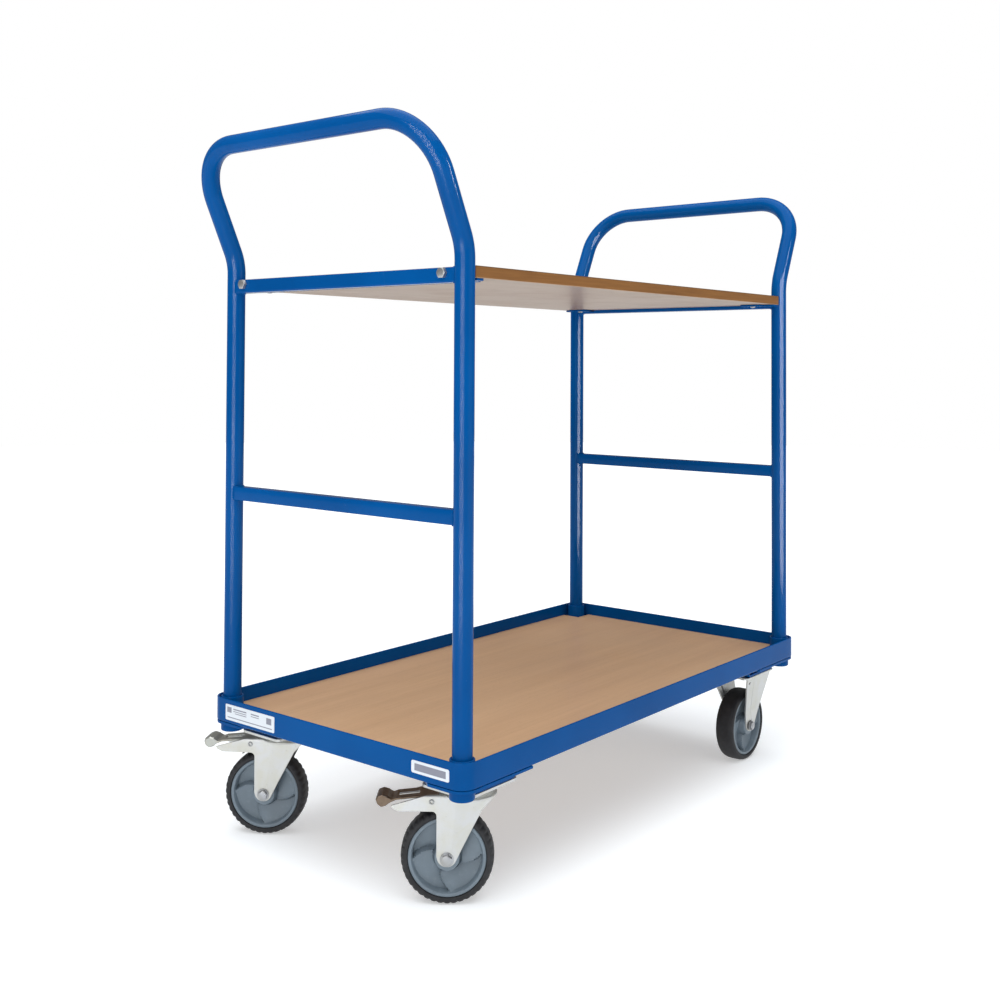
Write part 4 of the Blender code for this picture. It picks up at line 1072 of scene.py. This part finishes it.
# ---- stage, light and camera ----
def floor():
    """A pale floor that glows to white away from the trolley, so that it meets the white world with no edge."""
    bm = bmesh.new()
    bmesh.ops.create_circle(bm, cap_ends=True, radius=9.0, segments=96)
    mesh = mesh_of(bm, "floor")
    finish = Finish("floor_paper", (0.765, 0.80, 0.825), 0.9, Specular_IOR_Level=0.0)
    far = finish.add("VectorMath", {0: finish.place}, output="Value", operation="LENGTH")
    glow = finish.spread(far, 1.1, 2.6, 0.40, 1.0)
    finish.shader.inputs["Emission Color"].default_value = (1, 1, 1, 1)
    finish.links.new(glow, finish.shader.inputs["Emission Strength"])
    mesh.materials.append(finish.mat)
    obj = shown("floor", mesh)
    obj.location = (0, 0, FLOOR - 0.0001)
    obj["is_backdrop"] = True


def softbox(name, place, target, width, height, radiance, only=None):
    """A rectangular light at the place, facing the target, of the given radiance. Only is what it shines on."""
    data = bpy.data.lights.new(name, "AREA")
    data.shape = "RECTANGLE"
    data.size, data.size_y = width, height
    data.energy = 4 * width * height * radiance
    obj = shown(name, data)
    way = Vector(target) - Vector(place)
    obj.matrix_world = Matrix.Translation(place) @ way.to_track_quat("-Z", "Y").to_matrix().to_4x4()
    obj.visible_camera = False
    if only:
        obj.visible_diffuse = False
        obj.light_linking.receiver_collection = only
    obj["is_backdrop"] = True


def lights():
    level = 1.0 + FLOOR
    softbox("overhead", (-0.5, -0.2, FLOOR + 3.0), (0, 0, 0), 4.0, 4.0, 2.15)
    softbox("key", (-2.15, -0.70, level), (0, 0.0, level), 1.4, 2.0, 1.4)
    softbox("side", (0.6, -2.7, level), (0, 0.0, level), 2.4, 1.8, 0.8)
    near_handle, far_handle = (bpy.data.collections.new(f"{end}_handle") for end in ("near", "far"))
    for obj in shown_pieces():
        for stem, lit in (("handle_swivel", near_handle), ("handle_fixed", far_handle)):
            if obj.name.startswith(stem):
                lit.objects.link(obj)
    high_up = 1.4 + FLOOR
    softbox("key_gloss", (-2.15, -0.70, level), (0, 0.0, level), 1.4, 2.0, 72.0, only=near_handle)
    softbox("side_gloss", (0.64, -1.91, high_up), (0, 0, high_up), 0.20, 0.60, 90.0, only=near_handle)
    softbox("far_gloss", (-0.20, -1.91, level), (0.2, 0, level), 2.1, 2.0, 40.0, only=far_handle)
    world = bpy.data.worlds.new("studio")
    bpy.context.scene.world = world
    world.use_nodes = True
    tree = world.node_tree
    background = tree.nodes["Background"].inputs
    background["Color"].default_value = (1, 1, 1, 1)
    seen = tree.nodes.new("ShaderNodeLightPath").outputs["Is Camera Ray"]
    strength = tree.nodes.new("ShaderNodeMapRange")  # white to the camera, dim as a light
    strength.inputs["To Min"].default_value = 0.22
    tree.links.new(seen, strength.inputs["Value"])
    tree.links.new(strength.outputs["Result"], background["Strength"])


def camera():
    data = bpy.data.cameras.new("camera")
    data.lens = 43.41
    data.sensor_width = 36
    data.shift_x, data.shift_y = 0.0043, -0.1642
    data.clip_start, data.clip_end = 0.05, 100
    obj = shown("camera", data)
    heading, pitch, roll = -50.845, 1.319, 0.274  # degrees
    turn = Matrix.Rotation(radians(heading), 4, "Z") @ Matrix.Rotation(radians(90 + pitch), 4, "X")
    turn = turn @ Matrix.Rotation(radians(roll), 4, "Z")
    obj.matrix_world = Matrix.Translation((-1.6244, -1.2382, 0.5250)) @ turn
    bpy.context.scene.camera = obj
    bpy.context.scene.view_settings.view_transform = "Standard"


frame_rails()
frame_corners()
caster_brackets()
deck_board()
handles()
cross_rails()
shelf_board()
shelf_brackets()
labels()
swivel_casters()
fixed_casters()
floor()
lights()
camera()

bpy.context.view_layer.update()
